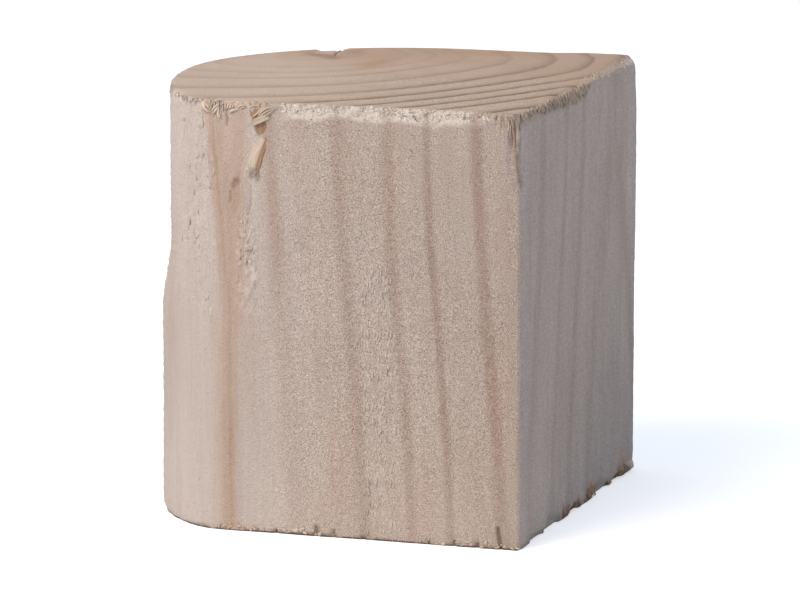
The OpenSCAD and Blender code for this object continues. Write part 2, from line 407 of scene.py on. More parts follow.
# %% Roll the rows over the edges
ROLL_STEPS = 5          # rows that round the top edge
BASE_STEPS = 3          # rows that round the base
straight = 0.8 * right_rim * smooth((6 - rim_y) / 3)
top_rows = []
for step in range(1, ROLL_STEPS + 1):
    turn = math.pi / 2 * step / ROLL_STEPS
    inset = (1 - math.cos(turn)) * (1 - straight) + straight * step / ROLL_STEPS
    climb = math.sin(turn) * (1 - straight) + straight * step / ROLL_STEPS
    row = highest_row - outward[-1] * (wear_in * inset)[:, None]
    end_z = crosscut_z(row[:, 1]) - edge_drop(row[:, 0], row[:, 1])
    row[:, 2] = highest_row[:, 2] + (end_z - highest_row[:, 2]) * climb
    rough = soft_noise(row, (0.45, 0.7, 0.45), 50 + step)
    row[:, 2] -= 0.3 * np.abs(rough) * smooth((wear_down - 0.3) / 0.8)
    row[:, 2] = np.where(crack_gap > 0, highest_row[:, 2] + 0.02 * step, row[:, 2])
    top_rows.append(row)
base_rows = []
base_wear = 0.12 + 0.2 * smooth(plan_noise(rim, (1.4, 1.4), 61))
for step in range(BASE_STEPS, 0, -1):
    turn = math.pi / 2 * step / BASE_STEPS
    row = lowest_row - outward[0] * (base_wear * (1 - math.cos(turn)))[:, None]
    row[:, 2] = lowest_row[:, 2] * (1 - math.sin(turn))
    base_rows.append(row)
skin = np.concatenate([np.array(base_rows), wall, np.array(top_rows)])
row_count, around = skin.shape[:2]
print("skin rows:", row_count, "points:", row_count * around)

# %% [markdown]
# ## The two ends
# Each end is one flat face with a ragged rim. A single many sided face would shade badly and could
# not hold the heart crack, so the end is filled with small triangles: points on a loose grid,
# joined to the rim by a Delaunay triangulation, which always picks the roundest triangles. It
# fills the gaps of the rim as well, so the triangles whose middle lies outside it are dropped.
# The crack is a fan of points that are simply lower than the rest.

# %% Fill an end with triangles
def inside_ring(points, ring):
    """True for the points that lie inside a closed ring, both seen from above."""
    result = np.zeros(len(points), bool)
    for a, b in zip(ring, np.roll(ring, -1, 0)):
        crosses = (a[1] > points[:, 1]) != (b[1] > points[:, 1])
        reach = (b[0] - a[0]) * (points[:, 1] - a[1]) / (b[1] - a[1] + 1e-12) + a[0]
        result ^= crosses & (points[:, 0] < reach)
    return result


def loose_grid(ring, spacing, seed):
    """Grid points inside the ring, each moved a little, and none close to the ring."""
    steps = np.arange(-32, 32, spacing)
    grid = np.stack(np.meshgrid(steps, steps), -1).reshape(-1, 2)
    grid += np.random.default_rng(seed).uniform(-0.25, 0.25, grid.shape) * spacing
    grid = grid[inside_ring(grid, ring)]
    nearest = np.full(len(grid), 1e9)
    for point in ring:
        nearest = np.minimum(nearest, np.hypot(*(grid - point).T))
    return grid[nearest > 0.6 * spacing]


def fill_end(ring, inner):
    """Triangles over a ring and the points inside it. The ring's points come first."""
    flat = [Vector(p) for p in np.concatenate([ring, inner])]
    hoop = [(i, (i + 1) % len(ring)) for i in range(len(ring))]
    points, _, faces, origin, _, _ = delaunay_2d_cdt(flat, hoop, [], 1, 1e-5, True)
    if len(points) != len(flat):
        raise RuntimeError("the rim of an end crosses itself")
    within = inside_ring(np.array(points)[np.array(faces)].mean(1), ring)
    return [tuple(origin[i][0] for i in face) for face, keep in zip(faces, within) if keep]


square = np.array([(0, 0), (1, 0), (1, 1), (0, 1)])
print("a square with one point inside takes", len(fill_end(square, [(0.5, 0.5)])), "triangles")

# %% Points of the two ends
top_ring, base_ring = skin[-1, :, :2], skin[0, :, :2]
top_inner = loose_grid(top_ring, 0.78, 5)
fine_inner = loose_grid(top_ring, 0.42, 7)
top_inner = np.concatenate([top_inner[top_inner[:, 0] < 28.2], fine_inner[fine_inner[:, 0] > 28.5]])
base_inner = loose_grid(base_ring, 1.6, 6)

crack_mouth = top_ring[np.argmax(crack_gap)]
crack_tip = np.array([crack_mouth[0] + 1.6, crack_mouth[1] - 9.5])
crack_run = np.linspace(0, 1, 30)[:-1]
crack_line = crack_tip + (crack_mouth - crack_tip) * crack_run[:, None]
crack_line_x = crack_line[:, 0] + 0.2 * np.sin(crack_run * 9)
crack_line_y = crack_line[:, 1]
crack_half = 0.05 + 0.25 * crack_run ** 2
off_line = np.abs(top_inner[:, 0] - np.interp(top_inner[:, 1], crack_line_y, crack_line_x))
clear = off_line > np.interp(top_inner[:, 1], crack_line_y, crack_half) + 0.35
top_inner = top_inner[clear | (top_inner[:, 1] < crack_tip[1]) | (top_inner[:, 1] > crack_mouth[1])]
fan, fan_depth = [], []
for side in (-1, -0.6, -0.25, 0, 0.25, 0.6, 1):
    fan.append(np.stack([crack_line_x + side * crack_half, crack_line_y], -1))
    fan_depth.append((1 - abs(side)) ** 1.2 * (0.05 + 10 * crack_run ** 3.5))
fan, fan_depth = np.concatenate(fan), np.concatenate(fan_depth)
print("points inside the ends:", len(top_inner) + len(fan), "and", len(base_inner))

# %% Heights of the two ends
top_level = np.concatenate([top_inner, fan])
top_drop = edge_drop(top_level[:, 0], top_level[:, 1])
top_z = crosscut_z(top_level[:, 1]) - top_drop
top_z = top_z - 0.05 * np.abs(plan_noise(top_level, (1.1, 1.1), 71))
top_z = top_z - 0.05 * np.abs(plan_noise(top_level, (9, 3), 72))
top_z[len(top_inner):] -= fan_depth
base_z = 0.12 * smooth(plan_noise(base_inner, (4, 4), 73) + 0.4)
top_faces = fill_end(top_ring, top_level)
base_faces = fill_end(base_ring, base_inner)
print("triangles in the ends:", len(top_faces), "and", len(base_faces))

# %% [markdown]
# ## Tones that follow the damage, and painted shade
# Torn wood shows its inside. The hollows are orange where fresh resin-rich wood was pulled open,
# brown where fibres were crushed, and almost white where the saw only frayed them. The dark tone
# also paints shade into the pockets, the slits and the heart crack, at the foot of the tongue,
# behind the curls and along the foot of the front face. The mesh already knows where each kind of
# damage is, so it carries three numbers at each point, and the material mixes its colours by them later.

# %% Fresh, crushed and frayed wood, point by point
hollowed = smooth(2.5 * cavity_above) + smooth(2.5 * cavity_below)
lowest = smooth((1.1 - z) / 0.6) * (0.5 + 0.5 * soft_noise(wall, (1.1, 1.1, 50), 38))
# Painted shade: a thin dark line along the foot of the front face, where it meets the floor.
base_line = smooth((0.6 - z) / 0.2) * smooth(soft_noise(wall, (2.2, 2.2, 50), 39) + 0.4) * (y < -26)
band_x = smooth((x + 5.5) / 2) * smooth((26.5 - x) / 2)
band_z = smooth((z - 61.2 + 0.5 * soft_noise(wall, (2.5, 2.5, 50), 81)) / 0.8)
crushed_band = on_front * band_x * band_z * (0.8 + 0.3 * soft_noise(wall, (0.6, 0.6, 0.6), 82))
torn_slope = smooth((z - 61) / 1.5) * on_right * smooth((6 - y) / 3)
frayed_wane = smooth((z - 61.8) / 1.0) * (x < -15) * (y < 0)
wane_patches = 0.5 + 0.5 * soft_noise(wall, (0.8, 0.8, 0.5), 84)
wane_cracks = smooth(soft_noise(wall, (0.6, 0.6, 0.6), 85) / 0.5 - 0.3)
behind_curls = smooth(1.6 - np.abs(x + 14.9) / 2.6) * smooth((z - 61.3) / 0.8) * (y < -26)
mottled = soft_noise(wall, (0.6, 0.6, 0.5), 83)

fresh = np.maximum.reduce([
    np.clip(0.9 * hollowed + 0.35 * groove + 0.25 * strip + 0.25 * slit + 0.15 * left_spot, 0, 1),
    0.45 * between_curls,
    0.12 * on_right * smooth((bite - 0.45) / 0.4),
    stain,
    0.3 * torn_slope])
# Much of the dark tone is painted shade: in the pockets, the slit and the base slits, at the foot of the
# tongue, in the notch below the lumps, between and behind the curls, and along the foot of the front face. On
# the bruised corner, the shredded corner and the wane rim it is the wood's own darker colour. The foot of the
# right face is simply darker toward the bottom.
dark = np.maximum.reduce([
    np.clip(0.5 * groove_foot + 0.42 * left_spot + 0.45 * middle_spot + 0.2 * notch + 0.4 * slit, 0, 1),
    0.2 * smooth(2.5 * cavity_below - 0.6),
    0.2 * between_curls,
    0.75 * furrow,
    0.3 * shredded * smooth(shreds / 0.3),
    base_slits,
    0.6 * on_right * lowest * smooth(1.5 - 3 * bite),
    0.8 * base_line,
    0.35 * frayed_wane * wane_cracks,
    0.45 * behind_curls * smooth(mottled / 0.5) * smooth((63.2 - z) / 0.3)])
frayed = np.clip(np.maximum.reduce([
    crushed_band,
    0.4 * lumpy * smooth(lump_noise / 0.3),
    0.2 * torn_slope,
    0.6 * frayed_wane * wane_patches,
    0.7 * behind_curls * smooth(-mottled / 0.5)]), 0, 1)


def over_skin(values):
    """Carries numbers of the wall rows on over the rolled rows, then flattens them."""
    first = np.repeat(values[:1], len(base_rows), 0)
    last = np.repeat(values[-1:], len(top_rows), 0)
    return np.concatenate([first, values, last]).ravel()


def spot(centre, size):
    """1 at a place on the top end, fading out over size mm."""
    away = (top_level - np.array(centre)) / np.array(size)
    return np.exp(-(away ** 2).sum(-1))


heart = sum(share * spot(centre, size) for share, centre, size in (
    (0.5, (-4.9, 9.0), (2.1, 3.2)), (0.45, (-3.7, 13.5), (2.0, 3.6)), (0.2, (-15.5, 17.5), (3, 3)),
    (0.2, (-12.8, 15), (2, 2)), (0.3, (-17, 22), (5, 4)), (0.3, (-8.0, 18), (4, 6)),
    (0.3, (4, 27), (12, 2.5)), (0.12, (0, 24), (14, 6))))
shade = sum(share * spot(centre, size) for share, centre, size in (
    (0.55, (-16.6, 18.6), (1.7, 2.2)), (0.5, (-14.3, 16.8), (1.7, 1.8)),
    (0.5, (-12.6, 15.0), (1.3, 1.5)), (0.35, (-11.5, 21.5), (1.6, 4))))
# Painted shade: inside the heart crack the dark tone deepens as the crack does.
in_crack = np.concatenate([np.zeros(len(top_inner)), 0.7 * np.clip(fan_depth / 1.5, 0, 1)])
rounded = 0.9 * smooth((top_drop - 0.08) / 0.4) * smooth((top_level[:, 1] - 3) / 4)
shade = np.clip(np.maximum(shade, in_crack), 0, 1)
no_base = np.zeros(len(base_inner))
tones = {
    "fresh": np.concatenate([over_skin(fresh), np.clip(heart, 0, 1), no_base]),
    "dark": np.concatenate([over_skin(dark), shade, no_base]),
    "frayed": np.concatenate([over_skin(frayed), rounded, no_base])}
print("tones:", {name: round(float(values.mean()), 3) for name, values in tones.items()})


# %% Build the block
def make_piece(name, points, faces):
    """A mesh object from points in mm, smooth shaded, riding on the block."""
    mesh = bpy.data.meshes.new(name)
    mesh.from_pydata((np.asarray(points, float) * MM).tolist(), [], faces)
    mesh.polygons.foreach_set("use_smooth", [True] * len(mesh.polygons))
    mesh.validate()
    mesh.update()
    piece = bpy.data.objects.new(name, mesh)
    bpy.context.scene.collection.objects.link(piece)
    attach(piece, "root")
    return piece


points = np.concatenate([
    skin.reshape(-1, 3),
    np.column_stack([top_level, top_z]),
    np.column_stack([base_inner, base_z])])
here = np.arange(row_count * around).reshape(row_count, around)
after = np.roll(here, -1, 1)
faces = np.stack([here[:-1], after[:-1], after[1:], here[1:]], -1).reshape(-1, 4).tolist()
top_names = np.concatenate([here[-1], here.size + np.arange(len(top_level))])
base_names = np.concatenate([here[0], here.size + len(top_level) + np.arange(len(base_inner))])
faces += [tuple(int(top_names[i]) for i in face) for face in top_faces]
faces += [tuple(int(base_names[i]) for i in reversed(face)) for face in base_faces]
block = make_piece("block", points, faces)
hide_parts("wood_block")
for name, values in tones.items():
    tone = block.data.attributes.new(name, "FLOAT", "POINT")
    tone.data.foreach_set("value", values.astype(np.float32))
print("block:", len(block.data.vertices), "points,",
      sum(len(p.vertices) - 2 for p in block.data.polygons), "triangles")

# %% [markdown]
# ## Loose fibres
# A torn edge is mostly loose fibres: flat slivers that still hang on, curls that the saw pushed
# over, and fuzz as fine as hair. Blender's hair system could draw them, but the block should stay
# one set of plain closed meshes, so each fibre is a small tapered ribbon: an oval cross section
# carried along a short path. Many fibres share one mesh, which keeps the scene light.

# %% Ribbons along paths
def ribbons(paths, widths, thicknesses, facing, sides=6):
    """Closed tapered ribbons. paths is fibres x steps x 3; facing is the way their flat side looks."""
    tangent = np.gradient(paths, axis=1)
    facing = np.broadcast_to(np.asarray(facing, float), paths.shape)
    side = np.cross(facing, tangent)
    side /= np.linalg.norm(side, axis=-1, keepdims=True) + 1e-9
    normal = np.cross(tangent, side)
    normal /= np.linalg.norm(normal, axis=-1, keepdims=True) + 1e-9
    turn = np.arange(sides) * 2 * math.pi / sides
    wide = (widths[..., None] * np.cos(turn) / 2)[..., None] * side[..., None, :]
    thick = (thicknesses[..., None] * np.sin(turn) / 2)[..., None] * normal[..., None, :]
    hoops = paths[..., None, :] + wide + thick
    count, steps = paths.shape[:2]
    names = np.arange(count * steps * sides).reshape(count, steps, sides)
    ahead = np.roll(names, -1, 2)
    walls = np.stack([names[:, :-1], ahead[:, :-1], ahead[:, 1:], names[:, 1:]], -1)
    ends = np.concatenate([names[:, 0, ::-1], names[:, -1]])
    faces = walls.reshape(-1, 4).tolist() + ends.tolist()
    return hoops.reshape(-1, 3), faces


loose_pieces, wood_pieces = [], [block]


def make_fibres(name, paths, widths, thicknesses, facing, tone, sides=6, group=loose_pieces,
                tone_name="stain"):
    """One mesh of ribbons. tone says how much of the stain, or of another tone, each of them has."""
    paths = np.asarray(paths, float)
    points, faces = ribbons(paths, widths, thicknesses, facing, sides)
    piece = make_piece(name, points, faces)
    numbers = piece.data.attributes.new(tone_name, "FLOAT", "POINT")
    tone = np.broadcast_to(np.asarray(tone, float).reshape(-1, 1), paths.shape[:2])
    numbers.data.foreach_set("value", np.repeat(tone.ravel(), sides).astype(np.float32))
    group.append(piece)
    print(name + ":", len(paths), "fibres")
    return piece


def bend(start, heading, toward, length, steps):
    """Paths that leave start along heading and bend toward another way over their length."""
    t = np.linspace(0, 1, steps)[None, :, None]
    way = heading[:, None] * (1 - t) + toward[:, None] * t
    way /= np.linalg.norm(way, axis=-1, keepdims=True)
    step = way * (length[:, None, None] / (steps - 1))
    return start[:, None] + np.cumsum(step, 1) - step[:, :1]


SLIM = (0.8, 0.15)      # how full a fibre is at its root and at its tip


def taper(width, steps, root=SLIM[0], tip=SLIM[1]):
    """A width at each step: full in the middle, thin at the tip."""
    t = np.linspace(0, 1, steps)
    shape = np.minimum(root + (1 - root) * t * 3, 1) * (1 - (1 - tip) * t ** 2.5)
    return np.asarray(width)[:, None] * shape


def strands(name, paths, width, flat, facing, tone, ends=SLIM, thick_ends=None, **looks):
    """Tapered fibres. flat is how thick they are as a share of their width."""
    steps = len(paths[0])
    return make_fibres(name, paths, taper(width, steps, *ends),
                       taper(width * flat, steps, *(thick_ends or ends)), facing, tone, **looks)


def sideways_lean(spread, count, middle=0.0):
    """Random amounts, one for each fibre, ready to multiply a direction."""
    return pick.normal(middle, spread, (count, 1))


def behind_round(at_x):
    """How far the front lies back at each x, where the wane begins to round it."""
    return 2.2 * np.clip((wane_x - at_x) / 4, 0, 1) ** 2


DOWN = np.array([0, 0, -1.0])
FRONT = np.array([0, -1.0, 0])
RIGHT = np.array([1.0, 0, 0])
BACK = -FRONT
FRAYED = {"group": wood_pieces, "tone_name": "frayed"}
pick = np.random.default_rng(101)
print("helpers ready, rim has", len(rim), "points")

# %% [markdown]
# ## Fringe and curls on the front edge
# The saw pushed the last fibres of the front face over the edge. Hundreds of short ones hang down
# from it, and at the left end some roll up into curls. The fringe has no order, so its places,
# lengths and widths are drawn at random. The curls are few and easy to see, so each of them has a
# path of its own, drawn through three to five places.

# %% Fringe along the top of the front face
front_names = np.nonzero((rim_y < -26) & (rim_x < half_w - 0.6))[0]


def front_fringe(name, count, longest, thin, tones):
    """Short fibres that hang over the front edge, leaning both ways."""
    sparse = 1 - 0.75 * smooth((-10.5 - rim_x[front_names]) / 1.5)
    chosen = pick.choice(front_names, count, p=sparse / sparse.sum())
    out = outward[-1][chosen]
    start = top_rows[2][chosen] - out * 0.08
    start = start + pick.normal(0, 0.12, start.shape) * (1, 0.3, 1) + (0, 0, 0.02)
    sideways = np.cross(out, DOWN) * sideways_lean(0.8, count)
    heading = out * pick.uniform(0.3, 0.8, (count, 1)) + sideways + DOWN * 0.3
    toward = DOWN * pick.uniform(0.6, 1.4, (count, 1)) + sideways * 0.8 - out * 0.25
    curly = smooth((-4 - start[:, 0]) / 6)
    length = pick.uniform(0.35, longest, count) * (1 + 0.6 * curly)
    width = pick.uniform(thin, 2.2 * thin, count) * (1 + 0.5 * curly)
    strands(name, bend(start, heading, toward, length, 5), width, 0.5, out[:, None],
            pick.uniform(*tones, count), sides=4)


front_fringe("front_fringe", 520, 1.0, 0.08, (0.0, 0.25))
front_fringe("dark_front_fringe", 130, 0.8, 0.05, (0.6, 1.0))

# %% Curls at the left end of the front edge
def drawn(*points):
    """A smooth path on the front face through a few places (x, z, how far it stands out)."""
    t = np.linspace(0, len(points) - 1, 11)
    rough = np.stack([np.interp(t, np.arange(len(points)), column) for column in zip(*points)], -1)
    for _ in range(2):
        rough[1:-1] = (rough[:-2] + 2 * rough[1:-1] + rough[2:]) / 4
    path = np.stack([rough[:, 0], -half_d - rough[:, 2], rough[:, 1]], -1)
    path[:, 1] += behind_round(path[:, 0])
    return path


curls = [   # width, tone, path
    (0.34, 0.0, drawn((-17.75, 63.5, 0.15), (-17.3, 62.9, 0.5), (-16.9, 62.3, 0.55), (-16.2, 61.8, 0.2))),
    (0.26, 0.1, drawn((-17.3, 63.5, 0.1), (-16.9, 63.0, 0.25), (-16.5, 62.6, 0.2), (-16.1, 62.4, 0.05))),
    (0.30, 0.0, drawn((-14.5, 63.2, 0.1), (-15.0, 62.9, 0.3), (-15.5, 62.4, 0.35), (-15.8, 61.95, 0.1))),
    (0.28, 0.0, drawn((-14.6, 62.8, 0.2), (-15.0, 62.35, 0.35), (-15.35, 61.9, 0.3), (-15.8, 61.75, 0.1))),
    (0.24, 0.35, drawn((-15.6, 63.4, 0.0), (-15.9, 62.9, 0.25), (-15.9, 62.5, 0.2), (-15.6, 62.2, 0.0))),
    (0.24, 0.05, drawn((-14.6, 62.9, 0.1), (-14.7, 61.9, 0.3), (-14.65, 61.25, 0.3), (-14.4, 61.2, 0.3),
                       (-14.35, 62.1, 0.1))),
    (0.28, 0.1, drawn((-13.7, 63.1, 0.1), (-13.55, 62.7, 0.25), (-13.75, 62.35, 0.1))),
    (0.26, 0.0, drawn((-13.1, 63.2, 0.1), (-13.25, 62.8, 0.25), (-13.6, 62.5, 0.15))),
    (0.26, 0.1, drawn((-12.7, 63.2, 0.1), (-12.85, 62.8, 0.25), (-13.1, 62.4, 0.1))),
    (0.22, 0.2, drawn((-12.35, 63.1, 0.1), (-12.5, 62.75, 0.2), (-12.75, 62.5, 0.05))),
    (0.38, 0.0, drawn((-12.95, 61.95, 0.05), (-12.75, 62.25, 0.3), (-12.2, 62.45, 0.35), (-11.5, 62.6, 0.1))),
    (0.24, 0.15, drawn((-11.7, 62.8, 0.05), (-11.05, 63.2, 0.25), (-10.35, 62.95, 0.05))),
    (0.2, 0.3, drawn((-11.4, 62.5, 0.0), (-10.8, 62.95, 0.25), (-10.4, 62.6, 0.05))),
    (0.26, 0.1, drawn((-18.4, 63.1, 0.05), (-18.3, 62.7, 0.2), (-18.5, 62.3, 0.05))),
    (0.22, 0.1, drawn((-19.1, 63.2, 0.05), (-18.9, 62.8, 0.2), (-19.1, 62.4, 0.05))),
    (0.24, 0.4, drawn((-16.6, 63.2, 0.05), (-16.3, 62.7, 0.2), (-16.0, 62.9, 0.2), (-15.9, 63.3, 0.0))),
    (0.22, 0.5, drawn((-14.1, 63.0, 0.05), (-14.0, 62.4, 0.2), (-13.9, 62.0, 0.05))),
    (0.24, 0.6, drawn((-17.0, 62.6, 0.0), (-16.5, 62.1, 0.12), (-16.0, 61.6, 0.0))),
    (0.2, 0.5, drawn((-15.2, 61.7, 0.0), (-15.5, 61.4, 0.12), (-16.0, 61.3, 0.0)))]
widths, curl_tones, curl_paths = zip(*curls)
strands("edge_curls", curl_paths, 1.25 * np.array(widths), 0.5, FRONT, curl_tones, (0.6, 0.3), SLIM)

# %% [markdown]
# ## Splinters over the torn pockets
# A few splinters were pulled out of the front face and still hang by one end, and strands lie
# across the open pocket. One wide ribbon would look like tape. A splinter is a bundle of strands,
# so it is made as one: ribbons side by side along one middle line, each with its own tone.

# %% Splinters that still hang over the torn pockets
def bundle(name, points, width, tones, count, thick=0.28, dome=0.25, ragged=0.1, **looks):
    """A splinter made of strands laid side by side. points are (x, z, how far it stands out)."""
    points = np.asarray(points, float)
    spans = np.arange(len(points))
    paths = []
    for index in range(count):
        share = index / (count - 1) - 0.5
        t = np.linspace(pick.uniform(0, ragged), 1 - pick.uniform(0, ragged), 11) * spans[-1]
        x0, z0, stand = (np.interp(t, spans, column) for column in points.T)
        way = np.stack([np.gradient(x0), np.gradient(z0)], -1)
        way /= np.linalg.norm(way, axis=1, keepdims=True)
        across = share * np.interp(t, spans, width) + 0.03 * np.sin(t * 3 + index)
        paths.append(np.stack([x0 - way[:, 1] * across,
                               -half_d - stand + dome * (2 * share) ** 2 * (1 + pick.normal(0, 0.2)),
                               z0 + way[:, 0] * across], -1))
    strand = np.interp(np.linspace(0, spans[-1], 11), spans, width) * 1.8 / count
    wide = np.maximum(strand, 0.12) * taper(np.ones(count), 11, 0.95, 0.7)
    tone = np.interp(np.linspace(0, 1, count), np.linspace(0, 1, len(tones)), tones)
    make_fibres(name, paths, wide, taper(np.full(count, thick), 11, 0.8, 0.6), FRONT, tone, **looks)


bundle("tongue", [(-7.62, 58.7, -0.02), (-8.2, 57.3, 0.05), (-8.85, 56.0, 0.09), (-9.2, 54.8, 0.1),
                  (-9.45, 53.7, 0.05)],
       [0.9, 1.5, 1.7, 1.85, 1.8], [0.1, 0.0, -0.1, -0.1, 0.0, 0.0, 0.1, 0.25, 0.8, 0.9, 0.6, 1.1], 13,
       thick=0.2, dome=0.13, ragged=0.05)
bundle("bar", [(-9.55, 60.3, 0.12), (-8.8, 60.9, 0.28), (-7.8, 61.45, 0.3), (-6.7, 61.7, 0.02)],
       [0.45, 0.7, 0.8, 0.55], [-0.1, 0.0, 0.1, 0.25, 0.4], 6, dome=0.08, ragged=0.05)
bundle("flap", [(-10.3, 52.7, -0.1), (-10.55, 51.4, 0.05), (-10.5, 49.8, 0.08), (-10.3, 48.0, 0.02),
                (-10.2, 46.8, -0.1)],
       [1.0, 1.6, 1.6, 1.2, 0.6], [0.1, 0.0, 0.0, 0.1, 0.2], 8, thick=0.2, dome=0.1, group=wood_pieces)

# %% Strands across the open pocket
over_pocket = [     # width, tone, path
    (0.27, 0.15, drawn((-9.4, 61.5, 0.0), (-8.7, 62.05, 0.25), (-8.0, 62.8, 0.25), (-7.3, 63.1, 0.1))),
    (0.23, 0.0, drawn((-8.5, 61.8, 0.2), (-7.9, 62.5, 0.4), (-7.1, 63.0, 0.3), (-6.2, 63.1, 0.05))),
    (0.22, 0.05, drawn((-8.25, 61.75, 0.2), (-7.6, 62.15, 0.4), (-7.0, 62.6, 0.35), (-6.3, 62.75, 0.05))),
    (0.2, 0.1, drawn((-8.05, 61.6, 0.2), (-7.2, 61.9, 0.35), (-6.45, 62.5, 0.25), (-6.1, 62.8, 0.1))),
    (0.22, 0.3, drawn((-9.8, 62.9, 0.1), (-9.4, 63.2, 0.2), (-8.7, 63.25, 0.2), (-8.2, 63.0, 0.0))),
    (0.19, 0.25, drawn((-8.9, 61.9, 0.1), (-8.3, 62.4, 0.3), (-7.7, 62.9, 0.3), (-6.9, 63.25, 0.1))),
    (0.2, 0.4, drawn((-9.9, 62.6, 0.05), (-9.75, 62.0, 0.1), (-9.7, 61.5, 0.0))),
    (0.18, 0.3, drawn((-6.9, 62.6, 0.0), (-6.1, 62.9, 0.12), (-5.3, 63.0, 0.0)))]
widths, over_tones, over_paths = zip(*over_pocket)
strands("pocket_bundle", over_paths, np.array(widths), 0.6, FRONT, over_tones, (0.7, 0.25), SLIM)

# %% Frayed tip of the tongue
frayed_tip = []
for index in range(10):
    root = np.array([-10.6 + 0.2 * index, -half_d - 0.04, 54.0 - 0.04 * index + pick.normal(0, 0.12)])
    away = np.array([pick.normal(-0.05, 0.22), -pick.uniform(-0.1, 0.15), -1])
    frayed_tip.append(root + away * np.linspace(0, pick.uniform(0.3, 0.6), 5)[:, None])
strands("tongue_tip", frayed_tip, np.linspace(0.24, 0.14, 10), 0.5, FRONT, np.linspace(-0.2, 0.6, 10))

# %% [markdown]
# ## Flakes from the teeth of the saw
# The teeth of the saw lifted small flakes, which show on the front as faint steps one above the
# other, and the round side has some of its own. A bump map could draw them, but real flakes catch
# the light on their raised ends. So they are flat ribbons held at the root, and in the rough band
# of the front each one is moved to the nearest row of teeth.

# %% Flakes that the saw lifted
def on_walls(low_x, high_x, low_z, high_z, count):
    """Random places on the front and the wane, and the way outward there."""
    near = (x >= low_x) & (x <= high_x) & (z >= low_z) & (z <= high_z) & (y < 0)
    rows, columns = np.nonzero(near)
    chosen = pick.integers(0, len(rows), count)
    return wall[rows[chosen], columns[chosen]], outward[rows[chosen], columns[chosen]]


def flakes(name, roots, out, lengths, widths, lifts):
    """Short flat flakes along the grain, held at one end and lifted at the other."""
    length, width, lift = (pick.uniform(*span, len(roots)) for span in (lengths, widths, lifts))
    t = np.linspace(0, 1, 5)[None, :, None]
    lean = pick.normal(0, 0.12, (len(roots), 1, 1)) * np.cross(out, DOWN)[:, None]
    paths = (roots - 0.05 * out)[:, None] + (DOWN + lean) * t * length[:, None, None]
    paths = paths + out[:, None] * lift[:, None, None] * np.sin(t * math.pi * 0.85)
    strands(name, paths, width, 0.3, out[:, None], pick.uniform(0, 0.5, len(roots)), (0.6, 0.5), **FRAYED)


TOOTH_STEP = 1.55       # height between two rows of flakes, one for each tooth of the saw
roots, out = on_walls(7.0, 12.3, 2, 40, 330)
rows_of_teeth = np.round(roots[:, 2] / TOOTH_STEP) * TOOTH_STEP
roots[:, 2] = np.maximum(rows_of_teeth + pick.normal(0, 0.22, len(roots)), 1.9)
flakes("saw_flakes", roots, out, (0.6, 1.5), (0.2, 0.5), (0.03, 0.09))
flakes("wane_flakes", *on_walls(-22.5, -15.5, 32, 62, 120), (0.5, 1.6), (0.25, 0.7), (0.005, 0.045))
flakes("pocket_flakes", *on_walls(-12.0, -9.2, 40.5, 48.5, 60), (0.3, 0.8), (0.2, 0.45), (0.03, 0.10))

# %% [markdown]
# ## Whiskers, scuffs and tips on the right
# Along the torn part of the right edge fibres of several tones hang over the slope. The rest of
# that edge is only scuffed, and long strands have split off at the front corner. They could share
# one mesh, but each kind has its own tone and length, so each is a piece of its own. At the base
# the tips stick out of the stains, so their places are picked from the points that carry a stain.

# %% Whiskers along the torn right edge
right_names = np.nonzero((rim_x > half_w - 0.6) & (rim_y > -29.3) & (rim_y < 5.5))[0]


def right_whiskers(name, names, count, lengths, thin, tones, spread):
    """Fibres that hang down over the torn slope of the right edge."""
    chosen = pick.choice(names, count)
    start = np.array(top_rows)[pick.integers(2, 5, count), chosen]
    out = outward[-1][chosen]
    start = start + pick.normal(0, 0.08, start.shape)
    leaning = sideways_lean(spread, count, -0.25) * BACK
    heading = out * pick.uniform(0.4, 1.0, (count, 1)) + leaning + DOWN * 0.3
    toward = DOWN * pick.uniform(0.9, 1.6, (count, 1)) + leaning + out * 0.05
    width = pick.uniform(thin, 2 * thin, count)
    longer = np.interp(start[:, 1], [-29, -20, -12, -6, 2, 5], [0.7, 0.8, 1.2, 1.5, 1.3, 0.7])
    reach = pick.uniform(*lengths, count) * longer
    flat_side = out + pick.normal(0, 0.7, (count, 3))
    strands(name, bend(start, heading, toward, reach, 5), width, 0.5, flat_side[:, None],
            pick.uniform(*tones, count), sides=4)


right_whiskers("right_whiskers", right_names, 400, (0.5, 1.3), 0.13, (0.0, 0.5), 0.45)
right_whiskers("pale_right_whiskers", right_names, 220, (0.4, 1.0), 0.12, (-0.3, 0.0), 0.7)
right_whiskers("dark_right_whiskers", right_names, 70, (0.5, 1.4), 0.08, (1.0, 1.25), 0.6)
most_torn = right_names[(rim_y[right_names] > -8.5) & (rim_y[right_names] < 3)]
right_whiskers("more_right_whiskers", most_torn, 170, (0.5, 1.4), 0.13, (0.0, 0.4), 0.5)

# %% Scuffs along the rest of the right edge
count = 130
places = np.stack([half_w - pick.uniform(0.1, 1.5, count), pick.uniform(3, 27.5, count)], -1)
start = np.column_stack([places, crosscut_z(places[:, 1]) - edge_drop(*places.T) + 0.01])
heading = np.array([0.4, 0, -0.25]) + sideways_lean(0.6, count) * BACK
width = pick.uniform(0.2, 0.5, count)
scuff_paths = bend(start, heading, heading - (0, 0, 0.35), pick.uniform(0.2, 0.5, count), 4)
strands("right_scuffs", scuff_paths, width, 0.25, (0.7, 0, 0.7), pick.uniform(-0.3, 0.1, count), sides=4)

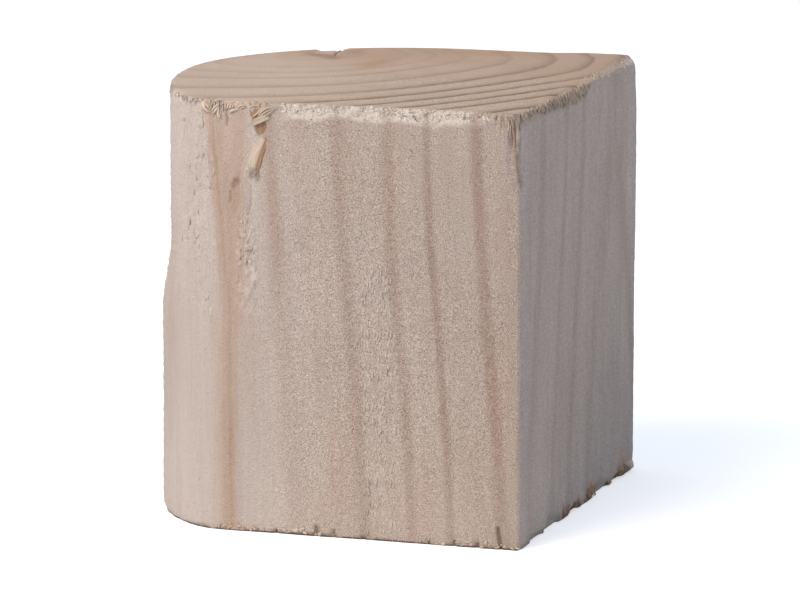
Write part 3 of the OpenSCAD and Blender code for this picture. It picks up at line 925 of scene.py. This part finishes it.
# %% Torn strands at the front right corner
corner_x = np.concatenate([pick.uniform(29.0, 30.5, 12), pick.uniform(26.5, 29.6, 22)])
count = len(corner_x)
start = np.stack([corner_x, np.full(count, -half_d + 0.10), 63.1 - pick.uniform(0, 2.0, count)], -1)
start[:, 1] += 0.45 * smooth((corner_x - 29.6) / 0.9)
heading = np.stack([pick.normal(0.04, 0.08, count), -pick.uniform(0.0, 0.08, count),
                    np.full(count, -1.0)], -1)
toward = np.stack([pick.normal(0.12, 0.08, count), np.full(count, 0.08), np.full(count, -1.0)], -1)
width = pick.uniform(0.08, 0.16, count)
strand_paths = bend(start, heading, toward, pick.uniform(0.8, 3.0, count), 7)
strand_tones = 0.1 + 0.8 * pick.uniform(0, 1, count) * smooth((corner_x - 28) / 2)
strands("corner_strands", strand_paths, width, 0.4, FRONT, strand_tones, (0.6, 0.3), SLIM)

# %% Stained tips and the pale tip at the base of the right face
on_stain = np.argwhere(stain > 0.35)
on_stain = on_stain[row_z[on_stain[:, 0]] < 2.0]
count = 240
chosen = on_stain[pick.integers(0, len(on_stain), count)]
start = wall[chosen[:, 0], chosen[:, 1]] - 0.08 * RIGHT
heading = np.array([0.5, 0, 0.1]) + pick.normal(0, 0.6, (count, 3)) * (0.3, 1, 0.6)
toward = np.array([0.25, 0, -1.0]) + pick.normal(0, 0.35, (count, 3)) * (0.3, 1, 1)
length = np.minimum(pick.uniform(0.3, 0.9, count), start[:, 2] * 0.8)
width = pick.uniform(0.12, 0.35, count)
flat_side = pick.normal(0, 0.5, (count, 3)) + RIGHT
strands("stained_tips", bend(start, heading, toward, length, 5), width, 0.4, flat_side[:, None],
        np.interp(start[:, 2], [0.3, 1.0, 2.0], [1.4, 0.7, 0.35]), (0.6, 0.4), sides=4)
tip_starts = np.array([[half_w - 0.3, 25.4 + 0.5 * step, 1.9 - 0.05 * step] for step in range(8)])
tip_lengths = np.array([0.9, 1.2, 1.4, 1.5, 1.5, 1.4, 1.2, 0.9])
tip_paths = bend(tip_starts, np.tile([0.55, 0, 0.1], (8, 1)), np.tile([0.35, 0, -1.0], (8, 1)),
                 tip_lengths, 6)
strands("pale_tip", tip_paths, np.full(8, 0.7), 0.45 / 0.7, RIGHT, np.linspace(0.5, -0.1, 8), (0.8, 0.5))

# %% [markdown]
# ## The ragged base
# The lower crosscut left short fibres and flat chips round the bottom edge. They soften the line
# where the block meets the floor, but none may pass through it. So a fibre is never longer than
# its height above the base allows, and a chip is lifted wherever its path would sink.

# %% Fringe along the base
def base_fringe(name, spots, out, tones):
    """Short fibres round the bottom edge, none of them below the base."""
    count = len(spots)
    start = spots + pick.normal(0, 0.05, spots.shape) * (1, 1, 0)
    sideways = np.cross(out, DOWN)
    heading = out * pick.uniform(0.2, 0.7, (count, 1)) + sideways * sideways_lean(0.5, count) + DOWN
    toward = out * pick.uniform(-0.1, 0.2, (count, 1)) + sideways * sideways_lean(0.5, count) + DOWN
    length = np.minimum(pick.uniform(0.3, 0.8, count), start[:, 2] * 0.9)
    width = pick.uniform(0.12, 0.28, count)
    strands(name, bend(start, heading, toward, length, 4), width, 0.6, out,
            pick.uniform(*tones, count), sides=4)


base_right = np.concatenate([pick.uniform(low_y, high_y, 65) for low_y, high_y in
                             ((-9.5, -4.5), (1.5, 6.5), (16.5, 18), (23.5, 29.5))])
count = len(base_right)
spots = np.stack([np.full(count, half_w - 0.22), base_right, pick.uniform(0.3, 0.9, count)], -1)
base_fringe("base_fringe_right", spots, RIGHT, (0.35, 0.95))
base_front = pick.uniform(-17, 30.5, 120)
front_y = behind_round(base_front) - half_d + 0.12
spots = np.stack([base_front, front_y, pick.uniform(0.3, 0.8, len(base_front))], -1)
base_fringe("base_fringe_front", spots, FRONT, (0.3, 1.0))

# %% Chips at the foot of the front face
clusters = [(-14.2, 0.8, 12), (-12.6, 0.9, 12), (-10.8, 0.8, 9), (-3.6, 0.9, 8), (-1.8, 0.7, 5),
            (0.6, 0.5, 4), (18.0, 1.4, 5), (22.0, 1.8, 6), (27.0, 1.6, 6), (29.6, 0.9, 5)]
chip_x = np.concatenate([pick.normal(middle, spread, number) for middle, spread, number in clusters])
chip_x = np.clip(chip_x, -17, 30.4)
count = len(chip_x)
chip_z = 0.35 + np.abs(pick.normal(0, 0.35, count))
start = np.stack([chip_x, behind_round(chip_x) - half_d + 0.05, chip_z], -1)
heading = pick.normal(0, 1, (count, 3)) * (1.0, 0, 0.35) + FRONT * 0.5
toward = pick.normal(0, 1, (count, 3)) * (0.8, 0, 0.3) + (0, 0.1, -0.3)
width = pick.uniform(0.25, 0.6, count)
chip_paths = bend(start, heading, toward, pick.uniform(0.4, 1.0, count), 5)
chip_paths[..., 2] = np.maximum(chip_paths[..., 2], 0.3)
chip_tones = np.where(chip_x < -9, pick.uniform(0.2, 0.6, count), pick.uniform(-0.1, 0.4, count))
strands("base_bits", chip_paths, width, 0.35, FRONT, chip_tones, (0.6, 0.4))

# %% [markdown]
# ## Fuzz, shreds and crumbs
# The round side has a fine fuzz that shows against the light, and its top rim is shredded. The
# band under the front edge was crushed to pale crumbs, and small dark slivers between them are
# painted shadows of the crumbs. A rougher mesh could show crumbs, but it would need far more points
# than these few ribbons. All but the fuzz take the finish of the block, because they are still part of its
# surface.

# %% Fuzz on the round of the log
count = 900
roots, out = on_walls(-31, -12, 1, 63, count)
heading = out * pick.uniform(0.4, 1.0, (count, 1)) + pick.normal(0, 0.3, (count, 3))
toward = -DOWN * pick.choice([-1, 1], (count, 1)) + out * 0.3
width = pick.uniform(0.05, 0.10, count)
hair_paths = bend(roots - 0.03 * out, heading, toward, pick.uniform(0.2, 0.5, count), 3)
strands("wane_fuzz", hair_paths, width, 0.7, out[:, None], 0.05, sides=4)

# %% Shreds along the rim of the wane
count = 150
chosen = pick.choice(np.nonzero((rim_x < wane_x + 1) & (rim_y < -18))[0], count)
out = outward[-1][chosen]
start = top_rows[2][chosen] - out * 0.05
start = start + pick.normal(0, 0.1, start.shape) - (0, 0, 0.1)
heading = out * pick.uniform(0.3, 0.9, (count, 1)) + pick.normal(0, 0.4, (count, 3))
toward = DOWN + pick.normal(0, 0.5, (count, 3)) - out * 0.2
width = pick.uniform(0.12, 0.4, count)
shred_paths = bend(start, heading, toward, pick.uniform(0.3, 1.1, count), 5)
strands("wane_shreds", shred_paths, width, 0.4, out[:, None], pick.uniform(0, 0.6, count), sides=4, **FRAYED)

# %% Crumbs in the crushed band under the front edge
crumb_patches = ((-2.2, 1.8, 55), (2.0, 2.6, 80), (9.3, 1.9, 50), (15.0, 3.2, 50), (23.0, 2.0, 25))
crumb_x = np.concatenate([pick.normal(middle, spread, number) for middle, spread, number in crumb_patches])
crumb_x = np.clip(crumb_x, -6, 26.5)
count = len(crumb_x)
crumb_z = 63.4 - np.abs(pick.normal(0, 0.55, count))
start = np.stack([crumb_x, np.full(count, -half_d + 0.02), crumb_z], -1)
heading = pick.normal(0, 1, (count, 3)) * (0.9, 0, 0.9) + FRONT * 0.12
toward = pick.normal(0, 1, (count, 3)) * (0.7, 0, 0.7) + (0, 0.12, -0.2)
width = pick.uniform(0.18, 0.5, count)
crumb_paths = bend(start, heading, toward, pick.uniform(0.3, 0.9, count), 4)
strands("crushed_crumbs", crumb_paths, width, 0.25, FRONT, pick.uniform(0.7, 1.8, count), (0.6, 0.5),
        sides=5, **FRAYED)

# %% Painted shadows in the crushed band: small dark slivers between the crumbs
count = 40
start = np.stack([pick.uniform(-5, 29.5, count), np.full(count, -half_d + 0.03),
                  63.3 - np.abs(pick.normal(0, 0.6, count))], -1)
heading = pick.normal(0, 1, (count, 3)) * (0.7, 0, 0.9) + FRONT * 0.1
width = pick.uniform(0.09, 0.18, count)
toward = heading + pick.normal(0, 0.4, (count, 3)) * (1, 0, 1)
crumb_shadow_paths = bend(start, heading, toward, pick.uniform(0.3, 1.0, count), 5)
make_fibres("crumb_shadow_slivers", crumb_shadow_paths, taper(width, 5, 0.3, 0.2), np.full((count, 5), 0.1), FRONT,
            pick.uniform(0.3, 0.9, count), sides=4, group=wood_pieces, tone_name="dark")

# %% [markdown]
# ## Helpers for shader nodes
# A wood material is a long chain of small sums. Written out node by node it would fill pages, so
# a few helpers do the wiring. What a node gives is wrapped in a Value, which can be added,
# subtracted and multiplied like a number, and each of those sums adds one node. The helpers work
# on the tree that was started last. Colours are written as they look, from 0 to 255, and turned
# into the linear numbers that a shader works with.

# %% Values and nodes
class Value:
    """The number that a shader node gives, for use in sums."""

    def __init__(self, socket):
        self.socket = socket

    def __add__(self, other):
        return calc("ADD", self, other)

    def __sub__(self, other):
        return calc("SUBTRACT", self, other)

    def __rsub__(self, other):
        return calc("SUBTRACT", other, self)

    def __mul__(self, other):
        return calc("MULTIPLY", self, other)

    def __abs__(self):
        return calc("ABSOLUTE", self)


def start_tree(owner):
    """Gives a material or a world an empty node tree."""
    owner.use_nodes = True
    owner.node_tree.nodes.clear()
    return owner.node_tree


def add_node(kind, inputs, **settings):
    """Adds a node. Each of its inputs gets a plain value or is linked to another node's output."""
    step = tree.nodes.new("ShaderNode" + kind)
    for name, setting in settings.items():
        setattr(step, name, setting)
    for name, value in inputs.items():
        value = value.socket if isinstance(value, Value) else value
        if isinstance(value, bpy.types.NodeSocket):
            tree.links.new(value, step.inputs[name])
        else:
            step.inputs[name].default_value = value
    return step


def calc(operation, *values):
    """The result of one sum."""
    return Value(add_node("Math", dict(enumerate(values)), operation=operation).outputs[0])


print("a Value can be added, subtracted, multiplied and made positive")


# %% Ranges and colours
def remap(value, start, end, low=0.0, high=1.0, ease="SMOOTHSTEP"):
    """Goes from low to high while value goes from start to end."""
    span = {"Value": value, "From Min": start, "From Max": end, "To Min": low, "To Max": high}
    return Value(add_node("MapRange", span, interpolation_type=ease).outputs["Result"])


def mix_colours(share, first, second, way="MIX"):
    """The first colour, turned toward the second by share."""
    return add_node("Mix", {0: share, 6: first, 7: second}, data_type="RGBA", blend_type=way).outputs[2]


def colour(red, green, blue):
    """A colour as seen, 0 to 255, as the linear colour that a shader needs."""
    shares = [c / 255 for c in (red, green, blue)]
    return tuple(((s + 0.055) / 1.055) ** 2.4 if s > 0.04 else s / 12.92 for s in shares) + (1,)


def shaded(base, channels):
    """A colour multiplied by one number for each of its channels."""
    shade = add_node("CombineColor", dict(enumerate(channels)))
    return mix_colours(1.0, base, shade.outputs[0], "MULTIPLY")


print("a middle grey for a shader:", [round(part, 3) for part in colour(128, 128, 128)])


# %% Noise, tones and the shader of a wood
def grain_noise(size, detail=2.0, seed=0.0):
    """Noise from 0 to 1 that changes over size along x, y and z, in the unit of place."""
    spread = {0: place, 1: [1 / s for s in size], 2: (seed * 7.3, seed * 3.1, seed * 5.7)}
    squeeze = add_node("VectorMath", spread, operation="MULTIPLY_ADD")
    texture = add_node("TexNoise", {"Vector": squeeze.outputs[0], "Scale": 1.0, "Detail": detail})
    return Value(texture.outputs[0])


def patches(size, detail, seed, start, end, low, high, ease="SMOOTHSTEP"):
    """Noise, turned into numbers from low to high."""
    return remap(grain_noise(size, detail, seed), start, end, low, high, ease)


def tone_number(name):
    """The number that the mesh carries under this name."""
    return Value(add_node("Attribute", {}, attribute_name=name).outputs["Fac"])


def finish_wood(material, pieces, base, roughness, specular, height, distance):
    """Ends a wood material with its shader and fine bumps, and puts it on its pieces."""
    bump = add_node("Bump", {"Distance": distance, "Height": height})
    shader = add_node("BsdfPrincipled", {
        "Base Color": base, "Roughness": roughness, "Specular IOR Level": specular,
        "Normal": bump.outputs[0]})
    add_node("OutputMaterial", {"Surface": shader.outputs[0]})
    for piece in pieces:
        piece.data.materials.append(material)
    print(material.name, "has", len(tree.nodes), "nodes and is on", len(pieces), "pieces")


print("pieces of the block:", len(wood_pieces), "and of loose fibre:", len(loose_pieces))

# %% [markdown]
# ## Growth rings
# Every face of the block shows the same tree. The pith lies near the back left of the top, and
# the rings run round it as slightly flattened shells that lean a little as they go down. So the
# rings are not painted on: one chain of sums turns any place in the wood into its distance from
# the pith, and a curve turns that distance into years. The end shows thin dark lines, and the
# sides, which cut the shells at a slant, show the same lines widened to soft bands.

# %% Distance from the pith, anywhere in the wood
PITH_X, PITH_Y = -15.3, 19.2
PITH_LEAN = 3.9         # how far the rings have shifted sideways at the base
RING_RADII = [6.5, 13.6, 18.2, 23.2, 31.0, 39.1, 45.3, 50.6, 55.7, 60.5, 67.9, 75.0]
OUTERMOST = 80.0        # the curve of years runs out to this distance
MOST_YEARS = 16         # and up to this many years

raw_wood = bpy.data.materials.new("raw_softwood")
tree = start_tree(raw_wood)
where = add_node("TexCoord", {}).outputs
place = add_node("VectorMath", {0: where["Object"], "Scale": 1 / MM}, operation="SCALE").outputs[0]
px, py, pz = [Value(part) for part in add_node("SeparateXYZ", {0: place}).outputs]
wave = grain_noise((14, 14, 60)) * 1.8 - 0.9
ripple = grain_noise((2.5, 2.5, 12), 1, 1) * 0.7 - 0.35
rx = px - PITH_X - (wave + ripple + remap(pz, -2, 62, PITH_LEAN, 0))
ry = py - PITH_Y - wave
far = calc("SQRT", rx * rx + ry * ry)
turn = calc("ARCTAN2", ry, rx)
lobes = calc("COSINE", turn * 2) * 0.353
for times, wave_kind, size in ((3, "COSINE", -0.286), (3, "SINE", 0.193), (4, "SINE", -0.135)):
    lobes = calc(wave_kind, turn * times) * size + lobes
radius = far * (lobes * (far * 0.01 + 0.6)) + far
print("nodes for the distance from the pith:", len(tree.nodes))

# %% Whole years at the outer edge of each dark ring, and parts of a year between
curve = add_node("FloatCurve", {"Value": calc("DIVIDE", radius, OUTERMOST)})
line = curve.mapping.curves[0]
line.points[0].location = (0, 0)
line.points[1].location = (1, (len(RING_RADII) + 0.7) / MOST_YEARS)
for number, ring in enumerate(RING_RADII, 1):
    line.points.new(ring / OUTERMOST, number / MOST_YEARS)
for point in line.points:
    point.handle_type = "VECTOR"
curve.mapping.update()
year = Value(curve.outputs[0]) * MOST_YEARS
print("rings:", len(RING_RADII))

# %% [markdown]
# ## Raw softwood
# Bare sawn pine is a mix of many weak effects: pale spring wood and darker summer wood, slow
# blotches, fine upright streaks, saw fuzz that catches the light, and the tones that the torn
# places carry. They are laid over each other from the largest to the smallest. The ends take the
# sharp dark lines and the sides the soft bands, chosen by which way the surface faces. Some light
# is painted in as well: the block darkens toward the right as if the lamp fell off, the right face
# is tinted cool and graded as it is lit, and the foot gets painted shade.

# %% Rings on the ends and on the sides
facing_x, _, facing_z = [Value(part) for part in add_node("SeparateXYZ", {0: where["Normal"]}).outputs]
end_grain = remap(abs(facing_z), 0.5, 0.85)
faces_right = remap(facing_x, 0.5, 0.9)
not_right = 1.0 - faces_right
on_side = remap(facing_x, 0.5, 0.9, 1.0, 0.45)

end_phase = calc("FRACT", year + 0.9)
line_start = calc("POWER", remap(end_phase, 0.32, 0.85, ease="LINEAR"), 2.2)
line_stop = remap(end_phase, 0.86, 1.0, 1, 0)
core = remap(abs(end_phase - 0.87), 0.02, 0.08, 1, 0) * remap(radius, 40, 50, 0, 0.35)
outer = remap(px * 0.5 + radius, 30, 50, 0.42, 0.95) * remap(radius, 9, 28, 0.3, 1.0)
outer = outer * remap(px * 0.6 + py, 2, 34, 1.0, 0.55)
patchy = patches((9, 9, 22), 2, 2, 0.3, 0.7, 0.75, 1.0)
thin_line = (line_start * line_stop + core) * outer * patchy
soft_band = remap(abs(calc("FRACT", year + 0.72) - 0.5), 0.02, 0.21, 1, 0) * patchy * on_side
soft_band = soft_band * remap(pz, 3, 24, 0.68, 1.0) * remap(px, 10, 19, 0.68, 1.0)

upward = remap(pz, 10, 42) * not_right
pale_wood = mix_colours(upward, colour(197, 180, 167), colour(195, 179, 168))
band_wood = mix_colours(upward, colour(174, 151, 137), colour(175, 154, 141))
side_colour = mix_colours(soft_band, pale_wood, band_wood)
toward_back = remap(px * 0.25 + py, -8, 24)
end_pale = mix_colours(toward_back, colour(208, 187, 168), colour(202, 176, 155))
end_colour = mix_colours(thin_line, end_pale, colour(139, 118, 103))
round_side = remap(px, 3, -15, 0, 0.85, "LINEAR")
side_colour = mix_colours(round_side, side_colour, colour(208, 195, 186))
wood = mix_colours(end_grain, side_colour, end_colour)
print("nodes with the rings:", len(tree.nodes))

# %% [markdown]
# ## The resinous strip beside the wane
# Where the sawn front meets the round, one dark ring is cut almost along its own surface, so it
# shows as a long orange strip that drifts to the left as it climbs, and the wood to its right is
# warmer as well. How far a place lies from the core of the strip decides how much of each tone it
# takes: a wide warm zone with a sharper left side, and a thin darker core inside it.

# %% Orange strip along the edge of the wane
strip_wave = grain_noise((3, 3, 9), 2, 9) * 0.7 - 0.35
off_core = px - remap(pz, 33, 62, -13.2, -15.9, "LINEAR") - strip_wave
on_sawn = remap(py, -24, -28, 0, 1) * (1.0 - end_grain)
past_end = off_core - remap(pz, 28, 60, 1.5, 5.6, "LINEAR")
zone = remap(off_core, -1.6, -0.5, 0, 1) * remap(past_end, -1.1, 0.9, 1, 0)
zone = zone * patches((0.8, 0.8, 12), 2, 10, 0.3, 0.7, 0.6, 1) * on_sawn
wood = mix_colours(zone, wood, colour(193, 169, 153))
left_glow = remap(off_core, -3.6, -0.9, 0, 0.5) * remap(off_core, 0, 1, 1, 0) * remap(pz, 26, 40, 1, 0)
wood = mix_colours(left_glow, wood, colour(196, 171, 151))
core_share = remap(abs(off_core), 0.05, 0.55, 0.85, 0) * on_sawn * remap(pz, 34, 46, 0.6, 1.0)
core_streaks = patches((0.6, 0.6, 7), 2, 15, 0.3, 0.6, 0.25, 0.9)
wood = mix_colours(core_share * core_streaks, wood, colour(178, 151, 128))

beside_tongue = px - remap(pz, 42, 62, -5.9, -7.3, "LINEAR")
first_band = remap(abs(beside_tongue), 0.3, 1.3, 0.6, 0) * on_sawn * remap(pz, 30, 44)
wood = mix_colours(first_band, wood, colour(181, 158, 144))
print("nodes with the strip:", len(tree.nodes))

# %% Streaks, blotches, fuzz and a painted lamp falloff over the rings
wood = mix_colours(patches((5, 5, 30), 2, 3, 0.5, 0.75, 0, 0.30), wood, colour(188, 158, 142))
cloud = patches((12, 12, 18), 3, 4, 0.25, 0.75, 0.95, 1.05, "LINEAR")
streak = patches((0.45, 0.45, 14), 2, 5, 0.2, 0.8, 0.95, 1.05, "LINEAR")
fuzz_height = grain_noise((0.125, 0.125, 0.14), 3, 6)
flaky_wane = remap(px, -17, -13, 0.3, 0) * remap(pz, 26, 44)
fuzziness = remap(px, -17, 2, 0.18, 1.0) * on_side + flaky_wane
fuzziness = fuzziness * remap(py, -12, 16, 1.0, 0.35) * remap(pz, 2, 18, 0.72, 1.0)
fuzz = (fuzz_height - 0.5) * fuzziness * 2.7 + 1.0
# Painted light: the block darkens from left to right, as if the lamp fell off, and a little more over the
# last millimetres before the right edge.
painted_lamp_falloff = remap(px, -12, 31, 1.0, 0.89, "LINEAR") * remap(px, 27, 31, 1.0, 0.966)
low_front = remap(pz, 2, 34, 0.04, 0) * remap(px, -14, -4) * not_right
wane_climb = remap(pz, 20, 55, -0.022, 0.025) * remap(px, -2, -14, 0, 1)
wane_foot = remap(pz, 8, 18, 0.035, 0) * remap(px, -16, -20)
strength = cloud * streak * fuzz * painted_lamp_falloff * (low_front + 1.0)
strength = strength * remap(pz, 0, 16, 1.06, 1.0) * (wane_climb + wane_foot + 1.0)
wood = shaded(wood, [calc("POWER", strength, power) for power in (0.9, 1.0, 1.12)])
print("nodes with the streaks and fuzz:", len(tree.nodes))

# %% Painted cool light over the grain of the right face
right_face_share = faces_right * (1.0 - remap(tone_number("fresh"), 0.05, 0.3))
stripe = patches((3.6, 3.6, 45), 3, 11, 0.3, 0.7, 0.95, 1.045, "LINEAR")
scratch = patches((0.45, 0.45, 4), 3, 12, 0.2, 0.8, 0.92, 1.08, "LINEAR")
speck = patches((0.4, 1.1, 0.32), 2, 13, 0.2, 0.8, 0.85, 1.18, "LINEAR")
broad = calc("SINE", py * 0.604 + 19.03) * remap(py, 0, 10, 0.018, 0.004)
# Painted light: low down the right face is brighter near the front corner, higher up it is brighter toward
# the back.
low_tone = remap(py, -22, 10, 1.07, 0.945)
high_tone = remap(py, -12, 22, 1.085, 1.135)
right_light_grade = (high_tone - low_tone) * remap(pz, 4, 50) + low_tone
right_tone = stripe * scratch * speck * (broad + 1.012) * right_light_grade
# Painted light: the gains tint the right face cool, as the sky lights it. Stripe, scratch and speck are its
# grain.
right_cool_light_and_grain = shaded(wood, [right_tone * gain for gain in (1.0, 1.04, 1.09)])
wood = mix_colours(right_face_share, wood, right_cool_light_and_grain)
print("nodes with the right face:", len(tree.nodes))

# %% Torn places, and painted shade along the base
frayed_share = tone_number("frayed") * (soft_band * -0.75 + 1.0)
frayed_share = frayed_share * patches((0.5, 0.5, 0.5), 2, 7, 0.3, 0.6, 0.3, 1)
wood = mix_colours(frayed_share, wood, colour(238, 226, 214))
inner = patches((0.3, 0.3, 1.2), 2, 8, 0.3, 0.7, 0.6, 1)
wood = mix_colours(tone_number("fresh") * inner, wood, colour(176, 132, 90))
wood = mix_colours(tone_number("dark") * inner, wood, colour(118, 97, 83))
# Painted shade: the lowest few tenths of a millimetre turn dark brown in patches, less on the faces that look
# right, as the shadow where the base meets the floor.
base_painted_shade = remap(pz, 0.12, 0.42, 1, 0) * patches((1.6, 1.6, 9), 2, 14, 0.35, 0.5, 0.2, 0.9)
base_painted_shade = base_painted_shade * remap(facing_x, 0.3, 0.7, 1, 0.3)
wood = mix_colours(base_painted_shade, wood, colour(74, 62, 54))
finish_wood(raw_wood, wood_pieces, wood, 0.9, 0.25, fuzz_height, 0.0003)

# %% [markdown]
# ## Finish of the loose fibres
# Each fibre is one small ribbon, and no two have quite the same tone. A random number for each
# island of the mesh makes some lighter and some darker, and the stain that the mesh carries at
# each point turns the torn resinous ones brown. A slow noise in metres shifts the tone of whole
# groups a little from one end of the block to the other.

# %% Loose fibre material
fibre_wood = bpy.data.materials.new("loose_fibre")
tree = start_tree(fibre_wood)
place = add_node("TexCoord", {}).outputs["Object"]
island = Value(add_node("NewGeometry", {}).outputs["Random Per Island"])
stained = mix_colours(tone_number("stain"), colour(214, 197, 180), colour(160, 119, 86))
slow_tone = patches((0.16, 0.16, 0.5), 2, 21, 0.25, 0.75, 0.86, 1.08, "LINEAR")
fibre_tone = slow_tone * remap(island, 0, 1, 0.84, 1.06, "LINEAR")
finish_wood(fibre_wood, loose_pieces, shaded(stained, [fibre_tone] * 3), 0.8, 0.3, slow_tone, 0.00004)

# %% [markdown]
# ## Studio floor and light
# The block stands on a plain pale floor. The floor is lit like the block and takes its shadow,
# and a little glow that only the camera, mirrors and glass see lifts it to white. A warm lamp from
# the front left gives the front and the top their tone, and a cool sky fills in the right side.

# %% Floor
def seen_directly():
    """1 for rays from the camera, and for what shows in a mirror or through glass, else 0."""
    rays = add_node("LightPath", {}).outputs
    eye = calc("MAXIMUM", rays["Is Camera Ray"], rays["Is Glossy Ray"])
    return calc("MAXIMUM", eye, rays["Is Transmission Ray"])


REACH = 3.0             # metres from the middle of the floor to its edges
floor_mesh = bpy.data.meshes.new("floor")
floor_mesh.from_pydata([(-REACH, -REACH, 0), (REACH, -REACH, 0), (REACH, REACH, 0), (-REACH, REACH, 0)],
                       [], [(0, 1, 2, 3)])
floor = bpy.data.objects.new("floor", floor_mesh)
bpy.context.scene.collection.objects.link(floor)
floor_material = bpy.data.materials.new("pale_floor")
tree = start_tree(floor_material)
paint = add_node("BsdfDiffuse", {"Color": (0.76, 0.78, 0.81, 1)})
glow = add_node("Emission", {"Strength": seen_directly() * 0.5})
both = add_node("AddShader", {0: paint.outputs[0], 1: glow.outputs[0]})
add_node("OutputMaterial", {"Surface": both.outputs[0]})
floor_mesh.materials.append(floor_material)
print("floor:", 2 * REACH, "m wide")

# %% Lamp and sky
lamp_data = bpy.data.lights.new("softbox", "AREA")
lamp_data.shape = "RECTANGLE"
lamp_data.size = 0.7
lamp_data.size_y = 0.7
lamp_data.energy = 12.0
lamp_data.color = (1.0, 0.855, 0.70)
lamp = bpy.data.objects.new("softbox", lamp_data)
bpy.context.scene.collection.objects.link(lamp)
toward_lamp = Vector((-0.35, -0.62, 0.70)).normalized()
lamp.location = toward_lamp * 1.2
lamp.rotation_euler = toward_lamp.to_track_quat("Z", "Y").to_euler()

sky = bpy.data.worlds.new("sky")
bpy.context.scene.world = sky
tree = start_tree(sky)
fill = add_node("Background", {"Color": (0.76, 0.85, 1.0, 1), "Strength": 0.70})
backdrop = add_node("Background", {"Color": (1, 1, 1, 1), "Strength": 1.0})
choose = add_node("MixShader", {0: seen_directly(), 1: fill.outputs[0], 2: backdrop.outputs[0]})
add_node("OutputWorld", {"Surface": choose.outputs[0]})
bpy.context.scene.view_settings.view_transform = "Standard"
print("lamp at", tuple(round(c, 2) for c in lamp.location))
